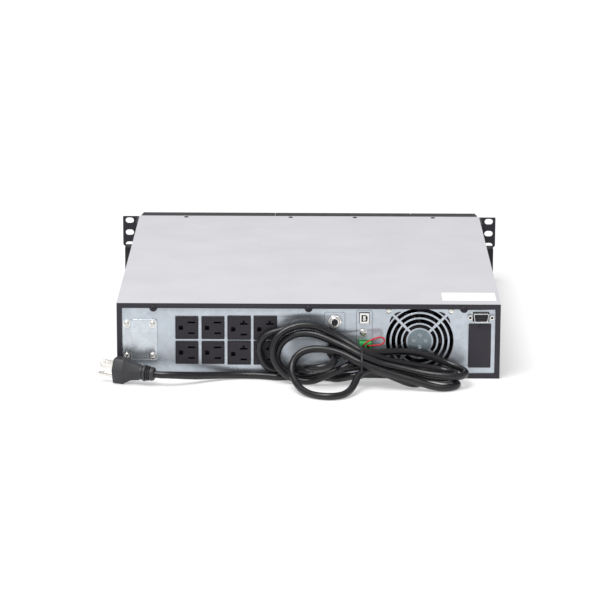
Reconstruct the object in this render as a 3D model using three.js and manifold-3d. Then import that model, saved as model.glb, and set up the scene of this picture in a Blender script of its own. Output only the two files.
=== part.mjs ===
// Rackmount uninterruptible power supply, two rack units high, built as its real pieces.
// Millimetres, +Z up, +Y towards the front bezel, -Y towards the rear panel, +X to the right
// for someone who faces the rear panel.
import * as THREE from 'three';
import { mergeVertices } from 'three/addons/utils/BufferGeometryUtils.js';
import Module from 'manifold-3d';

const wasm = await Module();
wasm.setup();

// ---------------------------------------------------------------- driving dimensions

const GAP = 0.3;                    // space left between pieces that touch on the real object
const SHEET = 1.2;                  // sheet steel of the casing

const CASE = { halfWidth: 220, height: 88, depth: 466, frame: 6, seam: 44 };
const BEZEL = { front: 486, halfWidth: 218.5, wingHalfWidth: 239.5, wingTop: 45.3, wall: 2.5 };
const DOOR = { left: -44.2, right: 131.5, bottom: 6.6 };
const DISPLAY = { left: 149, right: 205, bottom: 46, top: 78 };
const BUTTON = { radius: 4, hole: 4.5, height: 28, first: 157, pitch: 20, front: 485.6 };
const EAR = { halfWidth: 241.3, bottom: 45.8, back: 461, thick: 2, flange: 40, corner: 5 };
const EAR_SLOT = { x: 232.55, top: 82.6, pitch: 15.875, halfLength: 5.4, halfHeight: 3.7 };

const PANEL = { back: SHEET + GAP, halfWidth: 218.3, bottom: 1.6, top: 86.4, thick: SHEET };
const PANEL_FACE = PANEL.back;      // the visible face of the rear panel
const SKIN = PANEL_FACE - GAP;      // where a piece that lies on the panel ends

const OUTLET = { firstX: -139.6, pitch: 30, upperZ: 59, lowerZ: 29.5, body: 23.6, proud: 0.6, deep: 28 };
const BLADE_PITCH = 12.7;
const PORT_COVER = { left: -213, right: -173.5, bottom: 20.5, top: 69, padLeft: -203.6 };
const PORT_SCREW = { left: -208.6, right: -178.8, upper: 63.1, lower: 26.1 };
const BREAKER = { x: 30, z: 67, nut: 7.35, bush: 5.6, button: 3.6, proud: 6.5 };
const USB = { x: 63.95, z: 71.25, halfWidth: 5.35, halfHeight: 6.15, proud: 1.8 };
const GROUND = { x: 62.7, z: 54.6, washer: 4.4 };
const EPO = { left: 58.4, right: 72.4, bottom: 35.4, top: 43.9, proud: 8 };
const GLAND = { x: 30, z: 33, reach: 22.7, hexRadius: 11, cone: 8.2, mouth: 6.4 };
const FAN = { x: 127.6, z: 44, half: 40, front: 3, thick: 25, bore: 38.6, screw: 35.75 };
const GRILLE_SLOTS = [[15.5, 19.5], [21.4, 26], [28, 32.3], [34.5, 38.9]];
const GRILLE_SPOKE = 3;
// The grille's corner openings lie between a ring and a square with large round corners.
const GRILLE_CORNER = { ring: 40.6, square: 34.8, round: 14 };
const SERIAL = { x: 197.6, z: 73, halfWidth: 8.9, halfHeight: 5, jack: 12.5 };
const OPTION = { left: 183.5, right: 209.4, bottom: 13, top: 65 };
const COVER_SCREW = { xs: [-178, 0, 178], z: 82.5, tab: 4.6 };

const BAY = { left: -48, right: 135, back: 146 };
// The battery tray, narrower than the door's opening so that it slides out through it.
const TRAY = { clear: 0.8, back: 150, floor: 7.4, wallTop: 36 };
const BATTERY = { centre: 43.6, width: 151, depth: 98, height: 65, first: 160, pitch: 98.6 };
const FINS = { left: -204, pitch: 8.2, count: 10, thick: 2.2, bottom: 12, base: 17, top: 76 };

const CORD = { radius: 4.1, sides: 10 };
// The tied hank of cord: the loops left of the gland, the waist under the tie, the loops right of it.
const HANK = { left: -58, leftEnd: 17.5, top: 70, near: -2, far: -32, bend: 24 };
const WAIST = { near: -24, far: -48, right: 77.7 };
const TIE = { x: 60.2, width: 3.6, thick: 1.2, near: -14.9, far: -50, bottom: 12.8, top: 45.6 };
const PLUG = { x: -221.3, y: -22.5, z: 15.8, yaw: -15, pitch: 3, length: 48.2 };

// The origin sits under the middle of the casing, bezel front to gland mouth.
const CENTRE_Y = (BEZEL.front - GLAND.reach) / 2;

// ---------------------------------------------------------------- solid helpers

function toSolid(geometry) {
  const bare = geometry.clone();
  bare.deleteAttribute('normal');
  bare.deleteAttribute('uv');
  const merged = mergeVertices(bare, 1e-4);
  return new wasm.Manifold(new wasm.Mesh({
    numProp: 3,
    vertProperties: new Float32Array(merged.attributes.position.array),
    triVerts: new Uint32Array(merged.index.array),
  }));
}

function toGeometry(solid) {
  const mesh = solid.getMesh();
  const geometry = new THREE.BufferGeometry();
  geometry.setAttribute('position', new THREE.BufferAttribute(new Float32Array(mesh.vertProperties), 3));
  geometry.setIndex(new THREE.BufferAttribute(new Uint32Array(mesh.triVerts), 1));
  geometry.computeVertexNormals();
  return geometry;
}

function join(...solids) {
  return solids.reduce((whole, next) => whole.add(next));
}

function cut(body, ...tools) {
  return tools.reduce((left, tool) => left.subtract(tool), body);
}

function box(x0, x1, y0, y1, z0, z1) {
  const geometry = new THREE.BoxGeometry(x1 - x0, y1 - y0, z1 - z0);
  geometry.translate((x0 + x1) / 2, (y0 + y1) / 2, (z0 + z1) / 2);
  return toSolid(geometry);
}

// A cylinder along Y, from y0 to y1.
function rod(x, z, y0, y1, radius, sides = 16) {
  const geometry = new THREE.CylinderGeometry(radius, radius, y1 - y0, sides);
  geometry.translate(x, (y0 + y1) / 2, z);
  return toSolid(geometry);
}

// A turned piece along Y: profile points are [radius, y], from its -Y end to its +Y end.
function turned(x, z, profile, sides = 16) {
  const points = profile.map(([radius, y]) => new THREE.Vector2(radius, y));
  const geometry = new THREE.LatheGeometry(points, sides);
  geometry.translate(x, 0, z);
  return toSolid(geometry);
}

function shapeOf(points) {
  return new THREE.Shape(points.map(([x, z]) => new THREE.Vector2(x, z)));
}

// Extrudes an outline in X and Z along Y, from y0 to y1.
function slab(shape, y0, y1) {
  const outline = Array.isArray(shape) ? shapeOf(shape) : shape;
  const geometry = new THREE.ExtrudeGeometry(outline, { depth: y1 - y0, bevelEnabled: false, curveSegments: 6 });
  geometry.rotateX(Math.PI / 2);
  geometry.translate(0, y1, 0);
  return toSolid(geometry);
}

function rectangle(left, right, bottom, top) {
  return [[left, bottom], [right, bottom], [right, top], [left, top]];
}

// A rectangle with round corners, as points.
function rounded(left, right, bottom, top, radius, steps = 4) {
  const corners = [
    [right - radius, bottom + radius, -90],
    [right - radius, top - radius, 0],
    [left + radius, top - radius, 90],
    [left + radius, bottom + radius, 180],
  ];
  return corners.flatMap(([x, z, start]) => Array.from({ length: steps + 1 }, (_, i) => {
    const angle = THREE.MathUtils.degToRad(start + (90 * i) / steps);
    return [x + radius * Math.cos(angle), z + radius * Math.sin(angle)];
  }));
}

// Part of a ring between two radii and two angles in degrees, as points.
function arcSlot(cx, cz, inner, outer, from, to, steps) {
  const point = (radius, degrees) => {
    const angle = THREE.MathUtils.degToRad(degrees);
    return [cx + radius * Math.cos(angle), cz + radius * Math.sin(angle)];
  };
  const angles = Array.from({ length: steps + 1 }, (_, i) => from + ((to - from) * i) / steps);
  return [...angles.map((a) => point(outer, a)), ...angles.reverse().map((a) => point(inner, a))];
}

// A round tube along a smooth curve through the points.
function tube(points, radius, sides, steps) {
  const curve = new THREE.CatmullRomCurve3(points.map((p) => new THREE.Vector3(...p)), false, 'centripetal');
  const section = new THREE.Shape();
  for (let i = 0; i < sides; i += 1) {
    const angle = (2 * Math.PI * i) / sides;
    section[i ? 'lineTo' : 'moveTo'](radius * Math.cos(angle), radius * Math.sin(angle));
  }
  section.closePath();
  return toSolid(new THREE.ExtrudeGeometry(section, { steps, extrudePath: curve }));
}

// A pan-head screw whose head stands out towards -Y from the plane y.
function panScrew(x, y, z, headRadius, headHeight, shankRadius, shankLength) {
  const body = turned(x, z, [
    [0, y - headHeight],
    [headRadius * 0.55, y - headHeight * 0.93],
    [headRadius * 0.9, y - headHeight * 0.55],
    [headRadius, y - headHeight * 0.12],
    [headRadius, y],
    [shankRadius, y],
    [shankRadius, y + shankLength],
    [0, y + shankLength],
  ], 12);
  const arm = headRadius * 0.55;
  const deep = headHeight * 0.6;
  const recess = join(
    box(x - arm, x + arm, y - headHeight - 1, y - headHeight + deep, z - 0.45, z + 0.45),
    box(x - 0.45, x + 0.45, y - headHeight - 1, y - headHeight + deep, z - arm, z + arm),
  );
  return cut(body, recess);
}

// ---------------------------------------------------------------- the scene graph

const ups = new THREE.Group();
ups.position.y = -CENTRE_Y;

const FINISH = {
  cover: [0xd6d8dc, 0.45, 0.1],
  black: [0x2f3033, 0.5, 0.2],
  galvanised: [0xb4bec6, 0.35, 0.8],
  plastic: [0x26272a, 0.55, 0],
  bezel: [0x33353a, 0.55, 0],
  steel: [0xd0d2d4, 0.25, 0.9],
  green: [0x3f9a45, 0.5, 0],
  red: [0xc4202a, 0.45, 0],
  rubber: [0x1d1d1f, 0.5, 0],
  board: [0x1f5a34, 0.6, 0],
  aluminium: [0xb9bcc0, 0.35, 0.9],
  copper: [0xa9713b, 0.5, 0.3],
  battery: [0x3b3d41, 0.6, 0],
  glass: [0x1c2430, 0.15, 0],
};

function add(name, solid, finish, parent = ups) {
  const [color, roughness, metalness] = FINISH[finish];
  const material = new THREE.MeshStandardMaterial({ color, roughness, metalness });
  const mesh = new THREE.Mesh(toGeometry(solid), material);
  mesh.name = name;
  parent.add(mesh);
}

// ---------------------------------------------------------------- casing

// Side skirts and the rear lip of one half of the casing, between two heights.
function skirts(bottom, top) {
  const edge = CASE.halfWidth;
  const lip = edge - CASE.frame;
  return join(
    box(-edge, -edge + SHEET, 0, CASE.depth, bottom, top),
    box(edge - SHEET, edge, 0, CASE.depth, bottom, top),
    box(-edge, -lip, 0, SHEET, bottom, top),
    box(lip, edge, 0, SHEET, bottom, top),
  );
}

function topCover() {
  const edge = CASE.halfWidth;
  const lipBottom = CASE.height - CASE.frame;
  const tabs = COVER_SCREW.xs.map((x) => rod(x, COVER_SCREW.z, 0, SHEET, COVER_SCREW.tab, 20));
  const sheet = join(
    skirts(CASE.seam + 0.2, CASE.height),
    box(-edge, edge, 0, CASE.depth, CASE.height - SHEET, CASE.height),
    box(-edge, edge, 0, SHEET, lipBottom, CASE.height),
    ...tabs,
  );
  return cut(sheet, ...COVER_SCREW.xs.map((x) => rod(x, COVER_SCREW.z, -1, 2, 2.1, 12)));
}

function baseTray() {
  const edge = CASE.halfWidth;
  const wallTop = CASE.height - 4;
  const runnerTop = TRAY.floor - GAP;
  return join(
    skirts(0, CASE.seam - 0.2),
    box(-edge, edge, 0, CASE.depth, 0, SHEET),
    box(-edge, edge, 0, SHEET, 0, CASE.frame),
    box(BAY.left - SHEET, BAY.left, BAY.back, CASE.depth, 0, wallTop),
    box(BAY.right, BAY.right + SHEET, BAY.back, CASE.depth, 0, wallTop),
    box(BAY.left - SHEET, BAY.right + SHEET, BAY.back - SHEET, BAY.back, 0, wallTop),
    box(DOOR.left + 4, DOOR.left + 12, BAY.back + 2, CASE.depth, 0, runnerTop),
    box(DOOR.right - 12, DOOR.right - 4, BAY.back + 2, CASE.depth, 0, runnerTop),
  );
}

// One of the two openings beside the spoke in a corner of the grille.
function cornerOpening(turn, mirrored) {
  const { ring, square, round } = GRILLE_CORNER;
  const centre = square - round;
  const spoke = GRILLE_SPOKE / 2;
  const outer = [45 + THREE.MathUtils.radToDeg(Math.asin(spoke / round)), 62, 74, 86];
  const inner = [57, 52, 45 + THREE.MathUtils.radToDeg(Math.asin(spoke / ring))];
  const points = [
    ...outer.map((degrees) => [centre, round, degrees]),
    ...inner.map((degrees) => [0, ring, degrees]),
  ].map(([from, radius, degrees]) => {
    const angle = THREE.MathUtils.degToRad(degrees);
    return [from + radius * Math.cos(angle), from + radius * Math.sin(angle)];
  });
  const angle = THREE.MathUtils.degToRad(turn);
  return points.map(([a, b]) => {
    const [x, z] = mirrored ? [b, a] : [a, b];
    return [
      FAN.x + x * Math.cos(angle) - z * Math.sin(angle),
      FAN.z + x * Math.sin(angle) + z * Math.cos(angle),
    ];
  });
}

function grilleOpenings() {
  const openings = [];
  for (const [inner, outer] of GRILLE_SLOTS) {
    const middle = (inner + outer) / 2;
    const half = THREE.MathUtils.radToDeg(Math.asin(GRILLE_SPOKE / 2 / middle));
    const steps = Math.round(4 + inner / 7);
    for (const start of [45, 135, 225, 315]) {
      openings.push(arcSlot(FAN.x, FAN.z, inner, outer, start + half, start + 90 - half, steps));
    }
  }
  for (const turn of [0, 90, 180, 270]) {
    openings.push(cornerOpening(turn, false), cornerOpening(turn, true));
  }
  return openings.filter((points) => points.every(([, z]) => z < PANEL.top - 1 && z > PANEL.bottom + 1));
}

function circlePoints(x, z, radius, sides) {
  return Array.from({ length: sides }, (_, i) => {
    const angle = (2 * Math.PI * i) / sides;
    return [x + radius * Math.cos(angle), z + radius * Math.sin(angle)];
  });
}

function outletCentres() {
  const centres = [];
  for (const [row, z] of [['upper', OUTLET.upperZ], ['lower', OUTLET.lowerZ]]) {
    for (let column = 0; column < 4; column += 1) {
      centres.push({ name: `outlet_${row}_${column + 1}`, x: OUTLET.firstX + OUTLET.pitch * column, z, column });
    }
  }
  return centres;
}

function rearPanel() {
  const back = PANEL.back + PANEL.thick;
  const plate = box(-PANEL.halfWidth, PANEL.halfWidth, PANEL.back, back, PANEL.bottom, PANEL.top);
  const half = OUTLET.body / 2 + 0.4;
  const openings = [
    ...outletCentres().map(({ x, z }) => rectangle(x - half, x + half, z - half, z + half)),
    ...grilleOpenings(),
    circlePoints(BREAKER.x, BREAKER.z, BREAKER.bush + 0.4, 16),
    circlePoints(GLAND.x, GLAND.z, GLAND.cone + 0.4, 16),
    circlePoints(GROUND.x, GROUND.z, 2.4, 10),
    ...COVER_SCREW.xs.map((x) => circlePoints(x, COVER_SCREW.z, 2.1, 10)),
    rectangle(USB.x - 5.8, USB.x + 5.8, USB.z - 6.6, USB.z + 6.6),
    rectangle(EPO.left - 0.6, EPO.right + 0.6, EPO.bottom - 0.6, EPO.top + 0.6),
    rectangle(SERIAL.x - 9.4, SERIAL.x + 9.4, SERIAL.z - 5.6, SERIAL.z + 5.6),
    rectangle(OPTION.left + 2, OPTION.right - 2, OPTION.bottom + 4, OPTION.top - 4),
    rectangle(PORT_COVER.padLeft + 2, PORT_SCREW.right - 4, PORT_COVER.bottom + 9, PORT_COVER.top - 9),
  ];
  for (const x of [PORT_SCREW.left, PORT_SCREW.right]) {
    for (const z of [PORT_SCREW.upper, PORT_SCREW.lower]) {
      openings.push(circlePoints(x, z, 1.9, 8));
    }
  }
  return cut(plate, ...openings.map((points) => slab(points, PANEL.back - 1, back + 1)));
}

add('top_cover', topCover(), 'cover');
add('base_tray', baseTray(), 'black');
add('rear_panel', rearPanel(), 'galvanised');
COVER_SCREW.xs.forEach((x, i) => {
  const name = `cover_screw_${['left', 'centre', 'right'][i]}`;
  add(name, panScrew(x, -GAP, COVER_SCREW.z, 3.2, 1.9, 1.7, 7), 'black');
});

// ---------------------------------------------------------------- outlets

function outlet({ x, z, column }) {
  const wide = column > 1;
  const halfWidth = wide ? 13.5 : 13.2;
  const halfHeight = wide ? 14 : 13.3;
  const half = OUTLET.body / 2;
  const drop = wide ? -1.5 : 0;
  const face = slab(rounded(x - halfWidth, x + halfWidth, z - halfHeight, z + halfHeight, 1, 1), -OUTLET.proud, SKIN);
  const body = box(x - half, x + half, SKIN - 0.5, OUTLET.deep, z - half, z + half);
  const front = -OUTLET.proud - 1;
  const back = OUTLET.deep - 8;
  const upper = z + drop + BLADE_PITCH / 2;
  const lower = z + drop - BLADE_PITCH / 2;
  const slots = [
    box(x + 1, x + 9.6, front, back, upper - 1.1, upper + 1.1),
    box(x + 1.8, x + 9, front, back, lower - 1.1, lower + 1.1),
    slab([
      [x - 9.2, z + drop - 2.7], [x - 5, z + drop - 2.7], [x - 4.4, z + drop - 2.1],
      [x - 4.4, z + drop + 2.1], [x - 5, z + drop + 2.7], [x - 9.2, z + drop + 2.7],
    ], front, back),
  ];
  if (wide) {
    slots.push(box(x + 4.2, x + 6.4, front, back, upper, upper + 4));
  }
  return cut(join(face, body), ...slots);
}

for (const place of outletCentres()) {
  add(place.name, outlet(place), 'plastic');
}

// ---------------------------------------------------------------- pieces on the rear panel

function portCover() {
  const { left, right, bottom, top, padLeft } = PORT_COVER;
  const base = slab(rounded(left, right, bottom, top, 3, 3), SKIN - 0.6, SKIN);
  const pad = slab(rounded(padLeft, right, bottom, top, 4, 3), SKIN - 1.6, SKIN - 0.5);
  const holes = [PORT_SCREW.left, PORT_SCREW.right].flatMap((x) => [PORT_SCREW.upper, PORT_SCREW.lower]
    .map((z) => rod(x, z, SKIN - 3, SKIN + 1, 1.9, 8)));
  return cut(join(base, pad), ...holes);
}

add('battery_port_cover', portCover(), 'steel');
[PORT_SCREW.left, PORT_SCREW.right].forEach((x, column) => {
  [PORT_SCREW.upper, PORT_SCREW.lower].forEach((z, row) => {
    const seat = SKIN - (column ? 1.6 : 0.6) - GAP;
    add(`battery_port_screw_${column * 2 + row + 1}`, panScrew(x, seat, z, 3.1, 1.9, 1.5, 7), 'steel');
  });
});

function breakerBody() {
  const { x, z, bush } = BREAKER;
  const barrel = rod(x, z, -3.4, 8, bush, 16);
  const body = box(x - 8, x + 8, 3 + GAP, 38, z - 14, z + 14);
  return cut(join(barrel, body), rod(x, z, -5, 20, BREAKER.button + 0.35, 16));
}

function breakerNut() {
  const { x, z, nut, bush } = BREAKER;
  const hexagon = slab(circlePoints(x, z, nut / Math.cos(Math.PI / 6), 6), SKIN - 3, SKIN);
  return cut(hexagon, rod(x, z, -5, 3, bush + GAP, 16));
}

add('breaker_body', breakerBody(), 'plastic');
add('breaker_nut', breakerNut(), 'steel');
add('breaker_button', turned(BREAKER.x, BREAKER.z, [
  [0, -BREAKER.proud], [BREAKER.button - 0.7, -BREAKER.proud],
  [BREAKER.button, 0.7 - BREAKER.proud], [BREAKER.button, 12], [0, 12],
]), 'plastic');

function usbPort() {
  const { x, z, halfWidth, halfHeight, proud } = USB;
  const chamfer = 2.2;
  const outline = (grow) => [
    [x - halfWidth - grow, z - halfHeight - grow],
    [x + halfWidth - chamfer + grow, z - halfHeight - grow],
    [x + halfWidth + grow, z - halfHeight + chamfer - grow],
    [x + halfWidth + grow, z + halfHeight - chamfer + grow],
    [x + halfWidth - chamfer + grow, z + halfHeight + grow],
    [x - halfWidth - grow, z + halfHeight + grow],
  ];
  const shell = slab(outline(0), -proud, 16);
  const mouth = slab(outline(-0.6), -proud - 1, 8.5);
  const tongue = box(x - 1.9, x + 1.4, -proud + 1, 9, z - 2.9, z + 2.9);
  return join(cut(shell, mouth), tongue);
}

add('usb_port', usbPort(), 'steel');

function groundScrew() {
  const { x, z, washer } = GROUND;
  const ring = rod(x, z, SKIN - 1, SKIN, washer, 16);
  return join(ring, panScrew(x, SKIN - 0.9, z, 3.4, 2.2, 1.9, 10));
}

add('ground_screw', groundScrew(), 'steel');

function epoSocket() {
  const { left, right, bottom, top } = EPO;
  const shell = box(left, right, 0, 14, bottom, top);
  return cut(shell, box(left + 1.2, right - 1.2, -1, 10, bottom + 1.2, top - 1.2));
}

function epoPlug() {
  const { left, right, bottom, top, proud } = EPO;
  const head = box(left, right, -proud, -GAP, bottom, top);
  const nose = box(left + 1.6, right - 1.6, -1, 9, bottom + 1.6, top - 1.6);
  const centre = (left + right) / 2;
  const z = (bottom + top) / 2;
  const wells = [-2.54, 2.54].flatMap((dx) => [
    box(centre + dx - 1.3, centre + dx + 1.3, -proud - 1, -proud + 2, z - 3.1, z - 0.9),
    box(centre + dx - 1.4, centre + dx + 1.4, -proud + 2.6, -proud + 5.4, top - 1.4, top + 1),
  ]);
  return cut(join(head, nose), ...wells);
}

const EPO_WIRE = [
  [63.4, -8.6, 40.8], [63.7, -11.6, 42.8], [66.5, -13, 46], [71.5, -12.6, 48.6], [77, -12, 50.8],
  [82, -11.6, 51.8], [85.8, -11.4, 50.4], [86.8, -11.4, 47.2], [85, -11.6, 44.2], [80.5, -12, 42.8],
  [74.5, -12.2, 42.2], [70.2, -11.4, 41.8], [68, -8.6, 40.8],
];

add('epo_socket', epoSocket(), 'green');
add('epo_plug', epoPlug(), 'green');
add('epo_jumper_wire', tube(EPO_WIRE, 0.9, 8, 30), 'red');

function cordGland() {
  const { x, z, reach, hexRadius, cone, mouth } = GLAND;
  const flange = slab(circlePoints(x, z, hexRadius, 6), SKIN - 5, SKIN);
  const sleeve = turned(x, z, [
    [0, -reach], [mouth - 0.8, -reach], [mouth, 1 - reach], [cone - 1.2, -11], [cone - 0.6, -10.5],
    [cone - 0.6, -9], [cone, SKIN - 5.5], [cone, 12], [0, 12],
  ]);
  return join(flange, sleeve);
}

add('cord_gland', cordGland(), 'plastic');

function serialPort() {
  const { x, z, halfWidth, halfHeight } = SERIAL;
  const dee = (grow) => [
    [x - halfWidth + 1.4 - grow, z - halfHeight - grow],
    [x + halfWidth - 1.4 + grow, z - halfHeight - grow],
    [x + halfWidth + grow, z + halfHeight + grow],
    [x - halfWidth - grow, z + halfHeight + grow],
  ];
  const shell = cut(slab(dee(0), -5, 4), slab(dee(-0.7), -6, -0.5));
  const insert = slab(dee(-1.2), -3.4, 0);
  const flange = box(x - 15.4, x + 15.4, 3.2, 4.4, z - 6, z + 6);
  const rear = box(x - 8.5, x + 8.5, 4, 16, z - 5, z + 5);
  return join(shell, insert, flange, rear);
}

function jackscrew(x) {
  const hexagon = slab(circlePoints(x, SERIAL.z, 2.9, 6), -3.6, SKIN);
  return cut(hexagon, rod(x, SERIAL.z, -5, -0.6, 1.4, 8));
}

add('serial_port', serialPort(), 'steel');
add('serial_jackscrew_left', jackscrew(SERIAL.x - SERIAL.jack), 'steel');
add('serial_jackscrew_right', jackscrew(SERIAL.x + SERIAL.jack), 'steel');

function optionCover() {
  const { left, right, bottom, top } = OPTION;
  const plate = slab(rounded(left, right, bottom, top, 1.2, 2), SKIN - 1, SKIN);
  const centre = (left + right) / 2;
  const holes = [bottom + 2.8, top - 2.8].map((z) => rod(centre, z, SKIN - 2, SKIN + 1, 1.2, 8));
  return cut(plate, ...holes);
}

add('option_slot_cover', optionCover(), 'black');

// ---------------------------------------------------------------- fan

function fanFrame() {
  const { x, z, half, front, thick, bore } = FAN;
  const back = front + thick;
  const shell = cut(
    slab(rounded(x - half, x + half, z - half, z + half, 4, 2), front, back),
    rod(x, z, front - 1, back - 3, bore, 28),
    rod(x, z, front + 5, back + 1, bore, 28),
  );
  const arms = box(x - half + 1, x + half - 1, back - 3, back, z - 2, z + 2);
  const cross = box(x - 2, x + 2, back - 3, back, z - half + 1, z + half - 1);
  const motor = rod(x, z, back - 3, back, 16, 20);
  const holes = [-1, 1].flatMap((i) => [-1, 1].map((j) => (
    rod(x + i * FAN.screw, z + j * FAN.screw, front - 1, back + 1, 2.2, 8))));
  return cut(join(shell, arms, cross, motor), ...holes);
}

function fanRotor() {
  const { x, z, front, thick } = FAN;
  const nose = front + 2.5;
  const tail = front + thick - 4;
  const hub = turned(x, z, [[0, nose], [16, nose], [17.5, nose + 1.5], [17.5, tail], [0, tail]], 28);
  const blades = Array.from({ length: 7 }, (_, i) => {
    const blade = new THREE.BoxGeometry(21, 1.6, 20);
    blade.rotateX(THREE.MathUtils.degToRad(52));
    blade.translate(26.2, 0, 0);
    blade.rotateY((2 * Math.PI * i) / 7);
    blade.translate(x, (nose + tail) / 2, z);
    return toSolid(blade);
  });
  const sweep = rod(x, z, nose, tail, 37, 32);
  return join(hub, ...blades).intersect(sweep);
}

add('fan_frame', fanFrame(), 'plastic');
add('fan_rotor', fanRotor(), 'plastic');

// ---------------------------------------------------------------- rack ears

function rackEar(side) {
  const { halfWidth, bottom, back, thick, flange, corner } = EAR;
  const inner = CASE.halfWidth + GAP;
  const top = CASE.height;
  const plate = slab([
    [inner, bottom], [halfWidth - corner, bottom], [halfWidth, bottom + corner],
    [halfWidth, top - 0.6], [halfWidth - 0.6, top], [inner, top],
  ].map(([x, z]) => [side * x, z]), back, back + thick);
  const wing = box(...[side * inner, side * (inner + thick)].sort((a, b) => a - b), back - flange, back + 1, bottom, top);
  const round = EAR_SLOT.halfHeight;
  const slots = [0, 1, 2].map((i) => {
    const x = side * EAR_SLOT.x;
    const z = EAR_SLOT.top - i * EAR_SLOT.pitch;
    const outline = rounded(x - EAR_SLOT.halfLength, x + EAR_SLOT.halfLength, z - round, z + round, round - 0.01, 4);
    return slab(outline, back - 1, back + thick + 1);
  });
  return cut(join(plate, wing), ...slots);
}

add('rack_ear_left', rackEar(-1), 'black');
add('rack_ear_right', rackEar(1), 'black');

// ---------------------------------------------------------------- front bezel and its controls

function ventSlots(first, last, bottom, top) {
  const slots = [];
  for (let x = first; x <= last; x += 10) {
    slots.push(box(x - 1.6, x + 1.6, BEZEL.front - 5, BEZEL.front + 1, bottom, top));
  }
  return slots;
}

function buttonX(i) {
  return BUTTON.first + BUTTON.pitch * i;
}

function frontBezel() {
  const back = CASE.depth + GAP;
  const { front, halfWidth, wingHalfWidth, wingTop, wall } = BEZEL;
  const top = CASE.height;
  const outline = [
    [-wingHalfWidth, 0], [wingHalfWidth, 0], [wingHalfWidth, wingTop], [halfWidth, wingTop],
    [halfWidth, top - 3], [halfWidth - 3, top], [DOOR.right + GAP, top],
    [DOOR.right + GAP, DOOR.bottom - GAP], [DOOR.left - GAP, DOOR.bottom - GAP], [DOOR.left - GAP, top],
    [-halfWidth + 3, top], [-halfWidth, top - 3], [-halfWidth, wingTop], [-wingHalfWidth, wingTop],
  ];
  const pockets = [
    box(-halfWidth + wall, DOOR.left - GAP - wall, back - 1, front - 3, wall, top - wall),
    box(DOOR.right + GAP + wall, halfWidth - wall, back - 1, front - 3, wall, top - wall),
  ];
  const buttonHoles = [0, 1, 2].map((i) => rod(buttonX(i), BUTTON.height, front - 5, front + 1, BUTTON.hole, 16));
  const window = box(DISPLAY.left, DISPLAY.right, front - 1.8, front + 1, DISPLAY.bottom, DISPLAY.top);
  const windowHole = box(DISPLAY.left + 3, DISPLAY.right - 3, front - 5, front, DISPLAY.bottom + 3, DISPLAY.top - 3);
  return cut(
    slab(outline, back, front),
    ...pockets,
    ...buttonHoles,
    window,
    windowHole,
    ...ventSlots(-205, -55, 16, 74),
  );
}

function batteryDoor() {
  const back = CASE.depth + GAP;
  const { left, right, bottom } = DOOR;
  const { front, wall } = BEZEL;
  const top = CASE.height;
  return cut(
    slab(rectangle(left, right, bottom, top), back, front),
    box(left + wall, right - wall, back - 1, front - 3, bottom + wall, top - wall),
    ...ventSlots(left + 13, right - 10, 22, 72),
  );
}

add('front_bezel', frontBezel(), 'bezel');
add('battery_door', batteryDoor(), 'bezel');
add('display_window', box(
  DISPLAY.left + GAP, DISPLAY.right - GAP, BEZEL.front - 1.5, BEZEL.front - 0.2,
  DISPLAY.bottom + GAP, DISPLAY.top - GAP,
), 'glass');
for (let i = 0; i < 3; i += 1) {
  add(`front_button_${i + 1}`, turned(buttonX(i), BUTTON.height, [
    [0, 477], [2.5, 477], [2.5, 480], [5.6, 480], [5.6, 481.3],
    [BUTTON.radius, 481.3], [BUTTON.radius, BUTTON.front - 0.5],
    [BUTTON.radius - 0.5, BUTTON.front], [0, BUTTON.front],
  ], 12), 'bezel');
}

// ---------------------------------------------------------------- battery drawer

function batteryTray() {
  const left = DOOR.left + TRAY.clear;
  const right = DOOR.right - TRAY.clear;
  const { back, floor, wallTop } = TRAY;
  const front = CASE.depth;
  return cut(
    box(left, right, back, front, floor, wallTop),
    box(left + SHEET, right - SHEET, back + SHEET, front - SHEET, floor + SHEET, wallTop + 1),
  );
}

function batteryModule(i) {
  const y = BATTERY.first + BATTERY.pitch * i;
  const left = BATTERY.centre - BATTERY.width / 2;
  const right = BATTERY.centre + BATTERY.width / 2;
  const bottom = TRAY.floor + SHEET + GAP;
  const top = bottom + BATTERY.height;
  const block = slab(rounded(left, right, bottom, top, 2, 1), y, y + BATTERY.depth);
  const groove = box(left - 1, left + 0.8, y + 6, y + BATTERY.depth - 6, top - 14, top - 11);
  const terminal = (z) => box(left - 5, left + 1, y + 12, y + 18.4, z - 0.4, z + 0.4);
  return join(cut(block, groove), terminal(bottom + 14), terminal(top - 20));
}

add('battery_tray', batteryTray(), 'galvanised');
for (let i = 0; i < 3; i += 1) {
  add(`battery_module_${i + 1}`, batteryModule(i), 'battery');
}

// ---------------------------------------------------------------- power electronics

function mainBoard() {
  const sheet = box(-212, -56, 44, 440, 8, 9.6);
  const posts = [-204, -64].flatMap((x) => [52, 432].map((y) => {
    const post = new THREE.CylinderGeometry(3, 3, 7, 8);
    post.rotateX(Math.PI / 2);
    post.translate(x, y, SHEET + GAP + 3.5);
    return toSolid(post);
  }));
  const relays = [0, 1, 2].map((i) => box(-200 + i * 34, -180 + i * 34, 64, 80, 9, 26));
  return join(sheet, ...posts, ...relays);
}

function heatsink() {
  const { left, pitch, count, thick, bottom, base, top } = FINS;
  const right = left + pitch * (count - 1) + thick;
  const plate = box(left, right, 150, 330, bottom, base);
  const fins = Array.from({ length: count }, (_, i) => (
    box(left + pitch * i, left + pitch * i + thick, 150, 330, base - 1, top)));
  return join(plate, ...fins);
}

function transformer() {
  const core = cut(
    box(-118, -62, 250, 310, 10, 62),
    box(-108, -100, 249, 311, 20, 52),
    box(-80, -72, 249, 311, 20, 52),
  );
  const winding = slab(rounded(-104, -76, 16, 56, 6, 3), 243, 317);
  return join(core, winding);
}

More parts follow.
